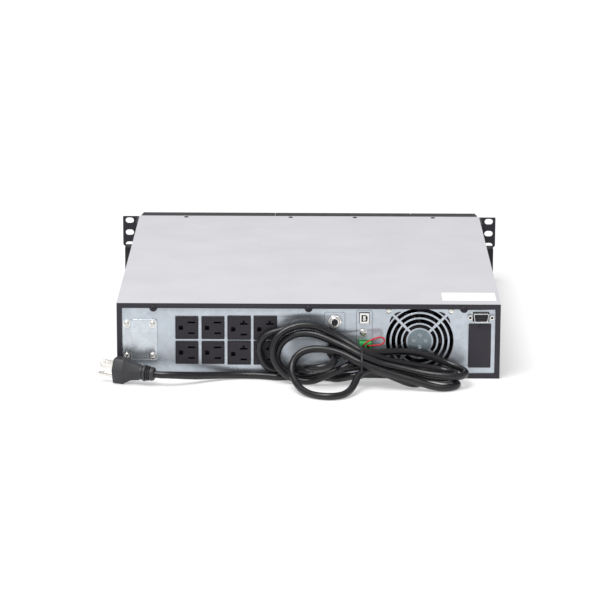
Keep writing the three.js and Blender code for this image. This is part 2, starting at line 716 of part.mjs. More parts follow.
function capacitor() {
  const can = new THREE.LatheGeometry([[0, 0], [17, 0], [17, 50], [15, 52], [0, 52]]
    .map(([r, h]) => new THREE.Vector2(r, h)), 20);
  can.rotateX(Math.PI / 2);
  can.translate(-90, 190, 10);
  return toSolid(can);
}

add('main_board', mainBoard(), 'board');
add('heatsink', heatsink(), 'aluminium');
add('transformer', transformer(), 'copper');
add('bus_capacitor', capacitor(), 'battery');
add('control_board', join(box(178, 214, 30, 190, 20, 21.6), box(184, 206, 60, 82, 21, 26)), 'board');

// ---------------------------------------------------------------- power cord, its hank and its plug

// The loops that stand against the panel, left of the gland.
function hankLeft() {
  const { left, leftEnd, top, near, far, bend } = HANK;
  return slab(rounded(left, leftEnd, 0.2, top, bend, 4), far, near);
}

// The tied waist in front of the gland, and the loop that lies out on the surface in front of it.
function hankWaist() {
  const { near, far, right } = WAIST;
  const waist = slab([
    [17.8, 5], [50, 10], [57, 14.4], [64, 14.4], [right, 8],
    [right, 38], [64, 42.8], [57, 43.8], [52, 46], [17.8, 61],
  ], far, near);
  const profile = [[-101, 0.2], [far + 1, 0.2], [far + 1, 34], [-101, 9]];
  const loop = new THREE.ExtrudeGeometry(shapeOf(profile), { depth: 76, bevelEnabled: false });
  loop.rotateY(Math.PI / 2);
  loop.rotateX(Math.PI / 2);
  loop.translate(-20, 0, 0);
  return join(waist, toSolid(loop));
}

// The loops right of the tie.
function hankRight() {
  return slab([
    [78, 0.2], [170, 0.2], [180, 8], [184, 12], [183, 21], [170, 26], [140, 36], [110, 38.6], [78, 40.4],
  ], -59, -3);
}

function cableTie() {
  const { x, width, thick, near, far, bottom, top } = TIE;
  return cut(
    box(x - width / 2, x + width / 2, far, near, bottom, top),
    box(x - width, x + width, far + thick, near - thick, bottom + thick, top - thick),
  );
}

// The stretch of cord from the hank to the plug's strain relief.
const TAIL = [
  [-58.4, -5.8, 4.3], [-66, -5.2, 4.3], [-76, -5.2, 4.4], [-88, -7, 4.8], [-100, -10.8, 5.7],
  [-114, -17, 6.8], [-127, -24.2, 8.4], [-139, -30.4, 10.3], [-150, -34.9, 12], [-160, -37, 12.9],
  [-168, -36.7, 13], [-174.2, -35.1, 13.25],
];

add('cord_hank_left', hankLeft(), 'rubber');
add('cord_hank_waist', hankWaist(), 'rubber');
add('cord_hank_right', hankRight(), 'rubber');
add('cable_tie', cableTie(), 'rubber');
add('cord_tail', tube(TAIL, CORD.radius, CORD.sides, 24), 'rubber');

const plug = new THREE.Group();
plug.position.set(PLUG.x, PLUG.y, PLUG.z);
plug.rotation.set(0, THREE.MathUtils.degToRad(PLUG.pitch), THREE.MathUtils.degToRad(PLUG.yaw), 'ZYX');
ups.add(plug);

// A turned piece along the plug's own axis, +X away from its face: profile points are [x, radius].
function alongPlug(profile, sides) {
  const points = profile.map(([x, radius]) => new THREE.Vector2(radius, x));
  const geometry = new THREE.LatheGeometry(points, sides);
  geometry.rotateZ(-Math.PI / 2);
  return toSolid(geometry);
}

function plugBody() {
  const block = toSolid(new THREE.BoxGeometry(13, 26.4, 29.2).translate(6.5, 0, -0.4));
  const sleeve = alongPlug([[0.5, 0], [0.5, 11.5], [13, 11.5], [28, 8.8], [31, 8.3], [34.6, 9.2],
    [45.6, 8.1], [PLUG.length, 7], [PLUG.length, 0]], 16);
  return join(block, sleeve);
}

function plugBlade(y) {
  return toSolid(new THREE.BoxGeometry(16, 1.5, 6.3).translate(-8 - GAP, y, 5));
}

add('plug_body', plugBody(), 'rubber', plug);
add('plug_blade_near', plugBlade(-BLADE_PITCH / 2), 'steel', plug);
add('plug_blade_far', plugBlade(BLADE_PITCH / 2), 'steel', plug);
const groundPin = new THREE.CylinderGeometry(2.4, 2.4, 19, 12).rotateZ(Math.PI / 2).translate(-9.5 - GAP, 0, -6.9);
add('plug_ground_pin', toSolid(groundPin), 'steel', plug);

export default ups;
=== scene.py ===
# Rackmount power supply with its tied mains cord: the looks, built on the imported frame.
# Lengths in the tables are millimetres in the casing's own frame, as in the part's source: X to the
# right seen from the rear, Y forwards from the casing's rear edge, Z up from the table.
import math
import random

import bmesh
import bpy
import numpy as np
from mathutils import Matrix, Vector


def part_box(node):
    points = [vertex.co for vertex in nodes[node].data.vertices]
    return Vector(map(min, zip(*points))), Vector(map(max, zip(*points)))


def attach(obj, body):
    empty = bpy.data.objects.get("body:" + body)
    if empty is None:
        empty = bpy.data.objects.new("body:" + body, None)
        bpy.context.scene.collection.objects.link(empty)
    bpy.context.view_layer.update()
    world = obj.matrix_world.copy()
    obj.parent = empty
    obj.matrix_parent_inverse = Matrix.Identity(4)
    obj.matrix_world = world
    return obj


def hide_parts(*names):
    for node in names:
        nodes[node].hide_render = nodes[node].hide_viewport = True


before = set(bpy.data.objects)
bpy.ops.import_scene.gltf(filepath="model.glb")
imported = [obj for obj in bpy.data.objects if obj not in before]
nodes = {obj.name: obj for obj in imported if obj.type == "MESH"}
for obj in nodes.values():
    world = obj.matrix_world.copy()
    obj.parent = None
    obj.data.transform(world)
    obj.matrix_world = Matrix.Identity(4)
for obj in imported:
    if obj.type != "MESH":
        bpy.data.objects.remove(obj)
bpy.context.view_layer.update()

MM = 0.001
REAR_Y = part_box("base_tray")[0].y   # the casing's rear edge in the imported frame
random.seed(7)


def at(x, y, z):
    """A point given in casing millimetres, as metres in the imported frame."""
    return Vector((x * MM, REAR_Y + y * MM, z * MM))


def place(name, data):
    """A new object in the scene with this mesh, curve, camera or light."""
    obj = bpy.data.objects.new(name, data)
    bpy.context.scene.collection.objects.link(obj)
    return obj


def mesh_from(bm, name):
    """The mesh of a finished bmesh, with its faces turned outwards."""
    bmesh.ops.recalc_face_normals(bm, faces=bm.faces)
    mesh = bpy.data.meshes.new(name)
    bm.to_mesh(mesh)
    bm.free()
    return mesh


# ---- camera

CAMERA_TARGET = at(-9.9, 0, 92.4)
CAMERA_DISTANCE = 3.3897
CAMERA_ANGLES = (14.04, -0.21, 0.20)   # elevation, azimuth and roll in degrees
CAMERA_LENS = 177.8


def make_camera():
    elevation, azimuth, roll = (math.radians(a) for a in CAMERA_ANGLES)
    forward = Vector((
        math.sin(azimuth) * math.cos(elevation),
        math.cos(azimuth) * math.cos(elevation),
        -math.sin(elevation),
    ))
    level = Vector((math.cos(azimuth), -math.sin(azimuth), 0))
    upright = level.cross(forward)
    right = level * math.cos(roll) + upright * math.sin(roll)
    up = upright * math.cos(roll) - level * math.sin(roll)
    data = bpy.data.cameras.new("camera")
    data.sensor_width = 36
    data.lens = CAMERA_LENS
    data.clip_end = 50
    camera = place("camera", data)
    turn = Matrix((right, up, -forward)).transposed().to_4x4()
    camera.matrix_world = Matrix.Translation(CAMERA_TARGET - forward * CAMERA_DISTANCE) @ turn
    bpy.context.scene.camera = camera


make_camera()

# ---- cord

CORD_RADIUS = 4.1

# The mains cord from the gland to the plug. It leaves the gland, goes once round each side of the
# tie for every loop of the hank, and runs along the casing's foot to the plug.
LEAD = [
    (30, -22.7, 33), (30.2, -32, 32.5), (29.6, -41.5, 31.5), (26.4, -49.8, 30.3), (19.6, -55, 29),
    (11.2, -55.2, 27.4), (4.2, -50.6, 25.6), (-0.4, -43, 23.6), (-3.5, -34, 21.3), (-6.5, -25, 18.8),
    (-11, -16.5, 16.5), (-18, -9, 13.6), (-27, -5.8, 11.1),
]
FIRST_LEFT = [
    (-37.5, -5.4, 10.5), (-46, -5.4, 13.7), (-52, -5.6, 20), (-55.6, -5.6, 28.5), (-56.6, -5.6, 37),
    (-54.6, -5.6, 45), (-49.4, -5.6, 51), (-42, -5.6, 54.8), (-33, -5.6, 57.5), (-24, -5.6, 60.2),
    (-14, -5.6, 62.7), (-4, -5.6, 64), (8, -5.8, 63.3), (20, -6.5, 59.7), (32, -9.2, 54),
    (44, -13.2, 47.5), (53, -17.2, 42.3), (60, -20.3, 38.8),
]
FIRST_RIGHT = [
    (73, -18.5, 35.6), (88, -12.9, 34.6), (101, -8.5, 34.3), (114, -6.5, 33.5), (127, -6, 31.6),
    (137, -6, 29), (147, -6, 25.4), (156, -6.8, 21.9), (164, -9.3, 19.3), (171, -14, 17.4),
    (176.5, -21, 16), (179, -29.5, 15.3), (177.5, -38.5, 15.2), (172.5, -46, 15.5),
    (164, -50.7, 16.5), (154, -51.5, 17.3), (144, -50, 17.9), (134, -47.5, 18.7), (122.5, -45, 20.2),
    (110, -43, 22.5), (96, -41.3, 25.2), (84, -40.5, 27.8), (72, -39.8, 32),
]
SECOND_LEFT = [
    (60, -38.7, 37), (50, -34.5, 41.5), (40, -29, 45.3), (30, -24.8, 49), (20, -21, 52.6),
    (8, -17.5, 56), (-4, -15, 57), (-15, -14, 55), (-24, -13.5, 50.5), (-30.5, -13.5, 44.5),
    (-34.5, -13.5, 37), (-36, -13.5, 29.5), (-34, -14, 21.5), (-29, -15, 15), (-21.5, -16.3, 10.2),
    (-12, -17, 7.6), (-2, -17, 7.4), (9, -17.5, 9.3), (20, -18.5, 12), (32, -20.5, 14.8),
    (43, -23.5, 17.5), (52, -26.3, 19.8), (60, -27.6, 21),
]
SECOND_RIGHT = [
    (74, -28, 20.4), (90, -29.5, 17.8), (104, -31.5, 15.3), (117, -34.8, 13.4), (129, -38.5, 12.6),
    (140, -42.3, 12.2), (150, -44.6, 12.3), (158, -43, 12.5), (164.5, -38, 12.6),
    (167.5, -30.5, 12.8), (166.5, -22.5, 12.8), (161.5, -15.8, 12.8), (153.5, -12, 13.6),
    (144, -12, 15.4), (133, -13.8, 17.4), (122, -16.5, 19.7), (111, -19, 22.3), (100, -21.5, 25.2),
    (88, -24.3, 28.9), (75, -27.5, 33.8),
]
THIRD_LEFT = [
    (60, -30, 40.6), (50, -25.3, 45.3), (40, -20.5, 50), (30, -17.3, 55.2), (21, -16, 60),
    (12, -15.5, 64), (1.5, -15.5, 66.3), (-9, -15.5, 66.3), (-19.5, -16, 63.8), (-28.5, -17.5, 59.5),
    (-35.5, -19.5, 53.5), (-39.8, -21, 46), (-41, -22, 38), (-40, -22.5, 30), (-36.6, -23.3, 22.5),
    (-31, -24.5, 15.5), (-23.2, -26, 9.5), (-13, -28, 5.5), (-3, -29.8, 4.3), (7, -31.5, 6),
    (16, -33.5, 10.3), (25, -35, 15), (35, -35.5, 19.8), (44, -34.5, 24.2), (52, -31.5, 28),
    (60, -27.2, 30.2),
]
THIRD_RIGHT = [
    (70, -23, 28.8), (80, -19, 26), (91, -16.2, 22.3), (103, -13.7, 18.8), (115, -12.5, 14.6),
    (126, -12.5, 10.5), (137, -15, 7), (148, -19.3, 4.8), (158, -23, 4.3), (165.5, -28.5, 4.3),
    (169.5, -37, 4.3), (168, -46, 4.3), (161.5, -53, 4.3), (151.5, -56, 4.5), (140, -55.4, 6.3),
    (128, -53.8, 9.5), (115.5, -52.2, 13), (103, -50.5, 16.3), (90.5, -49, 19.7), (79, -47.7, 23.2),
    (69, -46.4, 26.6),
]
FOURTH_LEFT = [
    (60, -45, 30), (52, -42.2, 33.2), (43, -38, 37), (32.5, -34.8, 40.2), (20.5, -32.5, 42.4),
    (8.5, -31.5, 43), (-2.5, -32, 41.4), (-10.6, -33.5, 37.4), (-16, -36, 31.2), (-18.4, -40, 24.8),
    (-18.6, -46, 19), (-16.4, -54, 14.3), (-12.6, -63, 10), (-7.2, -73, 6.8), (0.6, -82, 4.8),
    (10, -89, 4.3), (20, -92.5, 4.3), (29, -92, 4.3), (38, -87.5, 4.6), (45, -79.5, 6),
    (49.8, -70, 8.5), (53, -60.5, 12), (56, -52.3, 16.1), (60.8, -45.8, 19.3), (67.5, -41.4, 20.3),
]
FOURTH_RIGHT = [
    (76, -39.6, 19.2), (88, -40.2, 16.2), (100, -42.8, 12), (110, -44.2, 8.2), (119, -42.2, 5.3),
    (125.8, -36.7, 4.4), (128.7, -29, 4.3), (126.4, -21, 4.3), (120, -15.4, 4.4), (111, -14, 5.3),
    (101, -16.8, 7.4), (91, -20.8, 9.5), (80, -25.8, 11.3), (70, -30.5, 12.8),
]
TO_PLUG = [
    (60, -34, 13.8), (51, -34.5, 12), (42, -30, 8.8), (33, -22.5, 5.5), (23.5, -14.5, 4.3),
    (12, -8.8, 4.3), (0, -7.2, 4.3), (-12, -8.4, 4.3), (-22, -10.6, 4.3), (-30, -11.6, 4.3),
    (-37, -11.5, 4.3), (-44, -9.4, 4.3), (-52, -7, 4.3), (-58.4, -5.8, 4.3), (-66, -5.2, 4.3),
    (-76, -5.2, 4.4), (-88, -7, 4.8), (-100, -10.8, 5.7), (-114, -17, 6.8), (-127, -24.2, 8.4),
    (-139, -30.4, 10.3), (-150, -34.9, 12), (-160, -37, 12.9), (-168, -36.7, 13),
    (-174.2, -35.1, 13.25), (-178.1, -34.1, 13.45),
]
ROUTE = (
    LEAD + FIRST_LEFT + FIRST_RIGHT + SECOND_LEFT + SECOND_RIGHT + THIRD_LEFT + THIRD_RIGHT
    + FOURTH_LEFT + FOURTH_RIGHT + TO_PLUG
)


def between(t, t0, start, t1, end):
    return (t1 - t) / (t1 - t0) * start + (t - t0) / (t1 - t0) * end


def smooth_line(points, per_span=8):
    """A centripetal Catmull-Rom line through the points."""
    p = np.array(points, float)
    p = np.vstack([2 * p[0] - p[1], p, 2 * p[-1] - p[-2]])
    out = []
    for a, b, c, d in zip(p[:-3], p[1:-2], p[2:-1], p[3:]):
        t0 = 0.0
        t1 = t0 + np.linalg.norm(b - a) ** 0.5
        t2 = t1 + np.linalg.norm(c - b) ** 0.5
        t3 = t2 + np.linalg.norm(d - c) ** 0.5
        for t in np.linspace(t1, t2, per_span, endpoint=False):
            bc = between(t, t1, b, t2, c)
            abc = between(t, t0, between(t, t0, a, t1, b), t2, bc)
            bcd = between(t, t1, bc, t3, between(t, t2, c, t3, d))
            out.append(between(t, t1, abc, t2, bcd))
    out.append(p[-2])
    return out


def applied(obj, name):
    """The object with its modifiers or its bevel worked in, as a new mesh object; the old one goes."""
    bpy.context.view_layer.update()
    mesh = bpy.data.meshes.new_from_object(obj.evaluated_get(bpy.context.evaluated_depsgraph_get()))
    made = place(name, mesh)
    made.matrix_world = obj.matrix_world.copy()
    bpy.data.objects.remove(obj)
    mesh.name = name
    return made


def tube(name, line, radius, sides=5):
    """A round closed tube along a line in casing millimetres."""
    curve = bpy.data.curves.new(name, "CURVE")
    curve.dimensions = "3D"
    curve.bevel_depth = radius * MM
    curve.bevel_resolution = sides
    curve.use_fill_caps = True
    spline = curve.splines.new("POLY")
    spline.points.add(len(line) - 1)
    for point, spot in zip(spline.points, line):
        point.co = (*at(*spot), 1)
    spline.use_smooth = True
    return applied(place(name + "_line", curve), name)


cord_line = smooth_line(ROUTE)
cord = tube("mains_cord", cord_line, CORD_RADIUS)
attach(cord, "chassis")
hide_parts("cord_hank_left", "cord_hank_waist", "cord_hank_right", "cord_tail")

# ---- materials


class Surface:
    """A Principled material with short ways to add procedural colour, roughness and bump."""

    def __init__(self, name, color, metallic=0.0, roughness=0.5, coat=0.0, specular=0.5):
        self.material = bpy.data.materials.new(name)
        self.material.use_nodes = True
        self.tree = self.material.node_tree
        self.shader = self.tree.nodes["Principled BSDF"]
        self.color = color
        for key, value in (("Base Color", (*color, 1)), ("Metallic", metallic), ("Roughness", roughness),
                           ("Coat Weight", coat), ("Specular IOR Level", specular)):
            self.shader.inputs[key].default_value = value
        self.normal = None

    def node(self, kind, **values):
        made = self.tree.nodes.new(kind)
        for key, value in values.items():
            if key in made.inputs:
                made.inputs[key].default_value = value
            else:
                setattr(made, key, value)
        return made

    def join(self, source, target):
        self.tree.links.new(source, target)

    def coordinates(self, stretch=(1, 1, 1)):
        coordinate = self.node("ShaderNodeTexCoord")
        mapping = self.node("ShaderNodeMapping")
        mapping.inputs["Scale"].default_value = stretch
        self.join(coordinate.outputs["Object"], mapping.inputs["Vector"])
        return mapping.outputs["Vector"]

    def noise(self, scale, detail, stretch=(1, 1, 1)):
        texture = self.node("ShaderNodeTexNoise", Scale=scale, Detail=detail)
        self.join(self.coordinates(stretch), texture.inputs["Vector"])
        return texture.outputs["Fac"]

    def cells(self, scale):
        texture = self.node("ShaderNodeTexVoronoi", Scale=scale)
        self.join(self.coordinates(), texture.inputs["Vector"])
        return texture.outputs["Color"]

    def spread(self, factor, low, high, start=0.3, end=0.7):
        """Maps a texture's value to the range low to high."""
        limits = {"From Min": start, "From Max": end, "To Min": low, "To Max": high}
        ranged = self.node("ShaderNodeMapRange", **limits)
        self.join(factor, ranged.inputs["Value"])
        return ranged.outputs["Result"]

    def tint(self, factor, low, high):
        """Mixes two versions of the base colour by a texture."""
        mix = self.node("ShaderNodeMix", data_type="RGBA")
        colors = [s for s in mix.inputs if s.type == "RGBA"]
        colors[0].default_value = (*(c * low for c in self.color), 1)
        colors[1].default_value = (*(min(1.0, c * high) for c in self.color), 1)
        self.join(factor, mix.inputs["Factor"])
        result = [s for s in mix.outputs if s.type == "RGBA"][0]
        self.join(result, self.shader.inputs["Base Color"])
        return self

    def rough(self, factor, low, high):
        self.join(self.spread(factor, low, high), self.shader.inputs["Roughness"])
        return self

    def bump(self, height, strength, distance):
        bump = self.node("ShaderNodeBump", Strength=strength, Distance=distance * MM)
        self.join(height, bump.inputs["Height"])
        if self.normal:
            self.join(self.normal, bump.inputs["Normal"])
        self.normal = bump.outputs["Normal"]
        self.join(self.normal, self.shader.inputs["Normal"])
        return self


def paint(name, color, roughness, peel=1.0):
    """Powder coat: orange peel, fine speckle and slow changes of gloss."""
    s = Surface(name, color, roughness=roughness, specular=0.3)
    s.tint(s.spread(s.noise(14, 3), 0, 1), 0.96, 1.03)
    s.rough(s.noise(40, 3), roughness - 0.06, roughness + 0.08)
    s.bump(s.noise(900, 2), 0.25 * peel, 0.03)
    s.bump(s.noise(240, 2), 0.15 * peel, 0.05)
    return s.material


def moulded(name, color, roughness, grain=1.0, scale=1500):
    """Moulded plastic with a fine spark-eroded grain and a little handling shine."""
    s = Surface(name, color, roughness=roughness, specular=0.25)
    s.tint(s.spread(s.noise(60, 3), 0, 1), 0.92, 1.08)
    s.rough(s.noise(90, 3), roughness - 0.07, roughness + 0.09)
    s.bump(s.noise(scale, 2), 0.3 * grain, 0.04)
    return s.material


def metal(name, color, roughness, streak=(1, 1, 1)):
    """Plated metal with faint drawn lines and smudges."""
    s = Surface(name, color, metallic=1.0, roughness=roughness)
    s.tint(s.spread(s.noise(120, 3), 0, 1), 0.9, 1.05)
    s.rough(s.noise(300, 4, streak), roughness - 0.08, roughness + 0.1)
    s.bump(s.noise(1200, 3, streak), 0.2, 0.01)
    return s.material


def galvanised(name, color, roughness):
    """Zinc-coated sheet: faint spangle cells, rolling lines and uneven shine."""
    s = Surface(name, color, metallic=0.82, roughness=roughness)
    spangle = s.cells(170)
    split = s.node("ShaderNodeSeparateColor")
    s.join(spangle, split.inputs["Color"])
    s.tint(s.spread(split.outputs["Red"], 0, 1, 0.0, 1.0), 0.95, 1.05)
    s.rough(s.noise(22, 4), roughness - 0.07, roughness + 0.08)
    s.bump(split.outputs["Green"], 0.03, 0.02)
    s.bump(s.noise(700, 3, (1, 1, 0.05)), 0.03, 0.02)
    return s.material


def jacket(name, color, roughness):
    """Extruded cord jacket: satin, with faint lines, dust and kneading marks."""
    s = Surface(name, color, roughness=roughness, specular=0.5)
    s.tint(s.spread(s.noise(35, 4), 0, 1), 0.75, 1.35)
    s.rough(s.noise(55, 4), roughness - 0.09, roughness + 0.12)
    s.bump(s.noise(420, 3), 0.25, 0.08)
    s.bump(s.noise(2200, 2), 0.15, 0.02)
    return s.material


def board(name, color):
    """Circuit board: green mask with a mosaic of darker copper areas."""
    s = Surface(name, color, roughness=0.4, coat=0.2)
    split = s.node("ShaderNodeSeparateColor")
    s.join(s.cells(90), split.inputs["Color"])
    s.tint(s.spread(split.outputs["Blue"], 0, 1, 0.2, 0.8), 0.7, 1.3)
    s.bump(s.noise(1500, 2), 0.2, 0.02)
    return s.material


# Light grey for the cover's upward faces: a painted reflection of the overhead light on black paint.
REFLECTION_GREY = paint("cover_paint", (0.595, 0.592, 0.625), 0.42)
BLACK_PAINT = paint("black_paint", (0.032, 0.029, 0.038), 0.44, peel=1.4)
SHEET_STEEL = galvanised("galvanised_sheet", (0.51, 0.555, 0.61), 0.30)
PORT_STEEL = galvanised("port_cover_steel", (0.60, 0.645, 0.69), 0.28)
HUB_STEEL = galvanised("hub_steel", (0.235, 0.29, 0.32), 0.42)
ZINC = metal("zinc_plate", (0.80, 0.79, 0.77), 0.24)
BRASS = metal("nickel_plated_brass", (0.84, 0.82, 0.77), 0.22, streak=(0.1, 1, 1))
OUTLET_BLACK = moulded("outlet_black", (0.026, 0.023, 0.029), 0.45)
BLACK_PLASTIC = moulded("black_plastic", (0.022, 0.021, 0.024), 0.42)
# Near-black for the inside of slots, holes and sockets: painted shade in the recesses.
RECESS_SHADE = moulded("recess_shade", (0.006, 0.006, 0.007), 0.6)
FAN_BLACK = moulded("fan_black", (0.034, 0.028, 0.034), 0.45)
GREEN = moulded("green_plastic", (0.05, 0.40, 0.10), 0.38, grain=0.5)
RED = moulded("red_insulation", (0.62, 0.025, 0.035), 0.35, grain=0.4)
WHITE = moulded("white_plastic", (0.80, 0.79, 0.75), 0.4, grain=0.4)
BEZEL = moulded("bezel_plastic", (0.032, 0.033, 0.037), 0.5, grain=1.3, scale=1100)
BUTTON = moulded("button_plastic", (0.10, 0.105, 0.115), 0.4, grain=0.6)
BATTERY = moulded("battery_case", (0.05, 0.053, 0.06), 0.45)
WINDING = moulded("winding_tape", (0.42, 0.22, 0.07), 0.5)
ALUMINIUM = metal("aluminium", (0.75, 0.76, 0.78), 0.35, streak=(1, 0.05, 1))
CIRCUIT = board("circuit_board", (0.02, 0.13, 0.05))
CORD_BLACK = jacket("cord_jacket", (0.008, 0.007, 0.009), 0.31)
PLUG_BLACK = jacket("plug_jacket", (0.024, 0.023, 0.027), 0.46)
PAPER = moulded("label_paper", (0.92, 0.92, 0.92), 0.5, grain=0.3)
INK = moulded("ink", (0.09, 0.11, 0.12), 0.55, grain=0.2)
LENS = Surface("display_lens", (0.008, 0.010, 0.014), roughness=0.08, coat=0.6).material
LAMP = moulded("lamp_plastic", (0.10, 0.42, 0.20), 0.3, grain=0.2)

# ---- shape helpers


def enter(obj, body, replaced):
    """Hangs a piece on its body and hides the nodes that it stands for."""
    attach(obj, body)
    if replaced:
        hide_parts(*replaced)
    return obj


def dress(obj, material, slot, *replaced, body="chassis"):
    """Gives a finished piece its material, and enters it."""
    obj.data.materials.clear()
    obj.data.materials.append(material)
    return enter(obj, body, replaced)


def smooth(mesh, degrees):
    mesh.shade_smooth()
    mesh.set_sharp_from_angle(angle=math.radians(degrees))


def bevelled(obj, width, steps=2, degrees=35):
    """Rounds the sharp edges of a mesh by width millimetres."""
    name = obj.name
    modifier = obj.modifiers.new("edges", "BEVEL")
    modifier.width = width * MM
    modifier.segments = steps
    modifier.limit_method = "ANGLE"
    modifier.angle_limit = math.radians(degrees)
    modifier.miter_outer = "MITER_ARC"
    obj.name = name + "_plain"
    made = applied(obj, name)
    smooth(made.data, 32)
    weight = made.modifiers.new("shading", "WEIGHTED_NORMAL")
    weight.keep_sharp = True
    return made


def refined(node, width, steps=2, join_flat=True):
    """The CAD node's own shape with its edges rounded, as a new piece.

    join_flat merges the triangles of each flat face first. A face with many slots keeps its triangles.
    """
    mesh = nodes[node].data.copy()
    bm = bmesh.new()
    bm.from_mesh(mesh)
    bmesh.ops.remove_doubles(bm, verts=bm.verts, dist=2e-6)
    if join_flat:
        bmesh.ops.dissolve_limit(
            bm, angle_limit=math.radians(1.5), use_dissolve_boundaries=False, verts=bm.verts, edges=bm.edges)
    bm.to_mesh(mesh)
    bm.free()
    piece = place(node + "_fine", mesh)
    return bevelled(piece, width, steps)


def polar(x, z, radius, angle):
    return (x + radius * math.cos(angle), z + radius * math.sin(angle))


def circle(x, z, radius, count=32):
    return [polar(x, z, radius, 2 * math.pi / count * i) for i in range(count)]


def rectangle(left, right, bottom, top):
    return [(left, bottom), (right, bottom), (right, top), (left, top)]


def around(x, z, half_width, half_height):
    return rectangle(x - half_width, x + half_width, z - half_height, z + half_height)


def rounded(left, right, bottom, top, radius, steps=6):
    corners = [
        (right - radius, bottom + radius, -90), (right - radius, top - radius, 0),
        (left + radius, top - radius, 90), (left + radius, bottom + radius, 180),
    ]
    points = []
    for x, z, start in corners:
        for i in range(steps + 1):
            points.append(polar(x, z, radius, math.radians(start + 90 * i / steps)))
    return points


def arc_slot(x, z, inner, outer, start, end, steps):
    """Part of a ring between two radii and two angles in degrees."""
    angles = [math.radians(start + (end - start) * i / steps) for i in range(steps + 1)]
    return [polar(x, z, outer, a) for a in angles] + [polar(x, z, inner, a) for a in reversed(angles)]


def plate(name, outline, holes, front, back, edge=0.2, steps=2):
    """A sheet that faces the rear, from Y front to Y back, with holes and rounded edges."""
    curve = bpy.data.curves.new(name + "_outline", "CURVE")
    curve.dimensions = "2D"
    curve.fill_mode = "BOTH"
    for loop in [outline, *holes]:
        spline = curve.splines.new("POLY")
        spline.points.add(len(loop) - 1)
        for point, (x, z) in zip(spline.points, loop):
            point.co = (x * MM, z * MM, 0, 1)
        spline.use_cyclic_u = True
    curve.extrude = max(1e-6, (abs(back - front) / 2 - edge) * MM)
    curve.bevel_depth = edge * MM
    curve.bevel_resolution = steps
    curve.offset = -edge * MM
    flat = place(name + "_outline", curve)
    made = applied(flat, name)
    made.matrix_world = Matrix.Identity(4)
    middle = (front + back) / 2
    made.data.transform(Matrix.Rotation(math.radians(90), 4, "X"))
    made.data.transform(Matrix.Translation(Vector((0, REAR_Y + middle * MM, 0))))
    bm = bmesh.new()
    bm.from_mesh(made.data)
    bmesh.ops.remove_doubles(bm, verts=bm.verts, dist=1e-6)
    bmesh.ops.recalc_face_normals(bm, faces=bm.faces)
    bm.to_mesh(made.data)
    bm.free()
    smooth(made.data, 30)
    return made


def lathe(name, profile, segments):
    """A turned mesh about Y at the origin: profile is (radius, y) from the -Y end to the +Y end."""
    bm = bmesh.new()
    rings = []
    for radius, y in profile:
        if radius < 1e-6:
            rings.append([bm.verts.new((0, y * MM, 0))])
        else:
            rings.append([bm.verts.new((x * MM, y * MM, z * MM)) for x, z in circle(0, 0, radius, segments)])
    for low, high in zip(rings, rings[1:]):
        for i in range(segments):
            j = (i + 1) % segments
            corners = [low[i % len(low)], low[j % len(low)], high[j % len(high)], high[i % len(high)]]
            unique = list(dict.fromkeys(corners))
            if len(unique) > 2:
                bm.faces.new(unique)
    mesh = mesh_from(bm, name)
    smooth(mesh, 30)
    return mesh


def prism(name, outline, front, back):
    """A closed block from an outline in X and Z, between two Y planes, as a plain mesh object."""
    bm = bmesh.new()
    near = [bm.verts.new(at(x, front, z)) for x, z in outline]
    far = [bm.verts.new(at(x, back, z)) for x, z in outline]
    bm.faces.new(near)
    bm.faces.new(list(reversed(far)))
    for i in range(len(outline)):
        j = (i + 1) % len(outline)
        bm.faces.new((near[i], far[i], far[j], near[j]))
    return place(name, mesh_from(bm, name))


def turned(name, x, y, z, profile, segments=32):
    """A turned piece about Y placed at x and z, with profile distances measured from y."""
    piece = place(name, lathe(name, profile, segments))
    piece.location = at(x, y, z)
    return piece


def cross_head(name, radius, height):
    """A pan head with a cross recess, as a mesh about Y that stands out towards -Y."""
    head = place(name, lathe(name, [
        (0, -height), (radius * 0.35, -height), (radius * 0.62, -height * 0.93),
        (radius * 0.84, -height * 0.72), (radius * 0.96, -height * 0.4), (radius, -height * 0.1),
        (radius, 0), (0, 0.0)], 40))
    arm = radius * 0.62
    half = radius * 0.13
    for turn in (0, 90):
        bm = bmesh.new()
        bmesh.ops.create_cube(bm, size=1.0)
        for v in bm.verts:
            deep = v.co.y > 0
            v.co = Vector((
                math.copysign(arm * (0.35 if deep else 1.0), v.co.x) * MM,
                (-height * 0.35 if deep else -height * 1.4) * MM,
                math.copysign(half * (0.6 if deep else 1.1), v.co.z) * MM,
            ))
        cutter = place("recess", mesh_from(bm, "recess"))
        cutter.rotation_euler = (0, math.radians(45 + turn), 0)
        modifier = head.modifiers.new("recess", "BOOLEAN")
        modifier.operation = "DIFFERENCE"
        modifier.solver = "EXACT"
        modifier.object = cutter
        head = applied(head, name)
        bpy.data.objects.remove(cutter)
    smooth(head.data, 35)
    mesh = head.data
    bpy.data.objects.remove(head)
    return mesh


FACING_UP = Matrix.Rotation(math.radians(-90), 4, "X")   # turns a piece made to face the rear
SCREW_HEADS = {}   # one mesh for each size and material


def screw(name, x, y, z, radius, height, material, replaced=()):
    """A cross-head screw whose head sits on the plane Y and stands out towards the rear."""
    key = (radius, height, material.name)
    if key not in SCREW_HEADS:
        SCREW_HEADS[key] = cross_head(f"head_{radius}_{material.name}", radius, height)
        SCREW_HEADS[key].materials.clear()
        SCREW_HEADS[key].materials.append(material)
    piece = place(name, SCREW_HEADS[key])
    piece.location = at(x, y, z)
    piece.rotation_euler = (0, random.uniform(0, math.pi / 2), 0)
    return enter(piece, "chassis", replaced)


def recolour(obj, material, test):
    """Gives the faces that pass the test a second material."""
    obj.data.materials.append(material)
    index = len(obj.data.materials) - 1
    for face in obj.data.polygons:
        if test(face):
            face.material_index = index


# ---- casing

COVER_TOP = 88.0
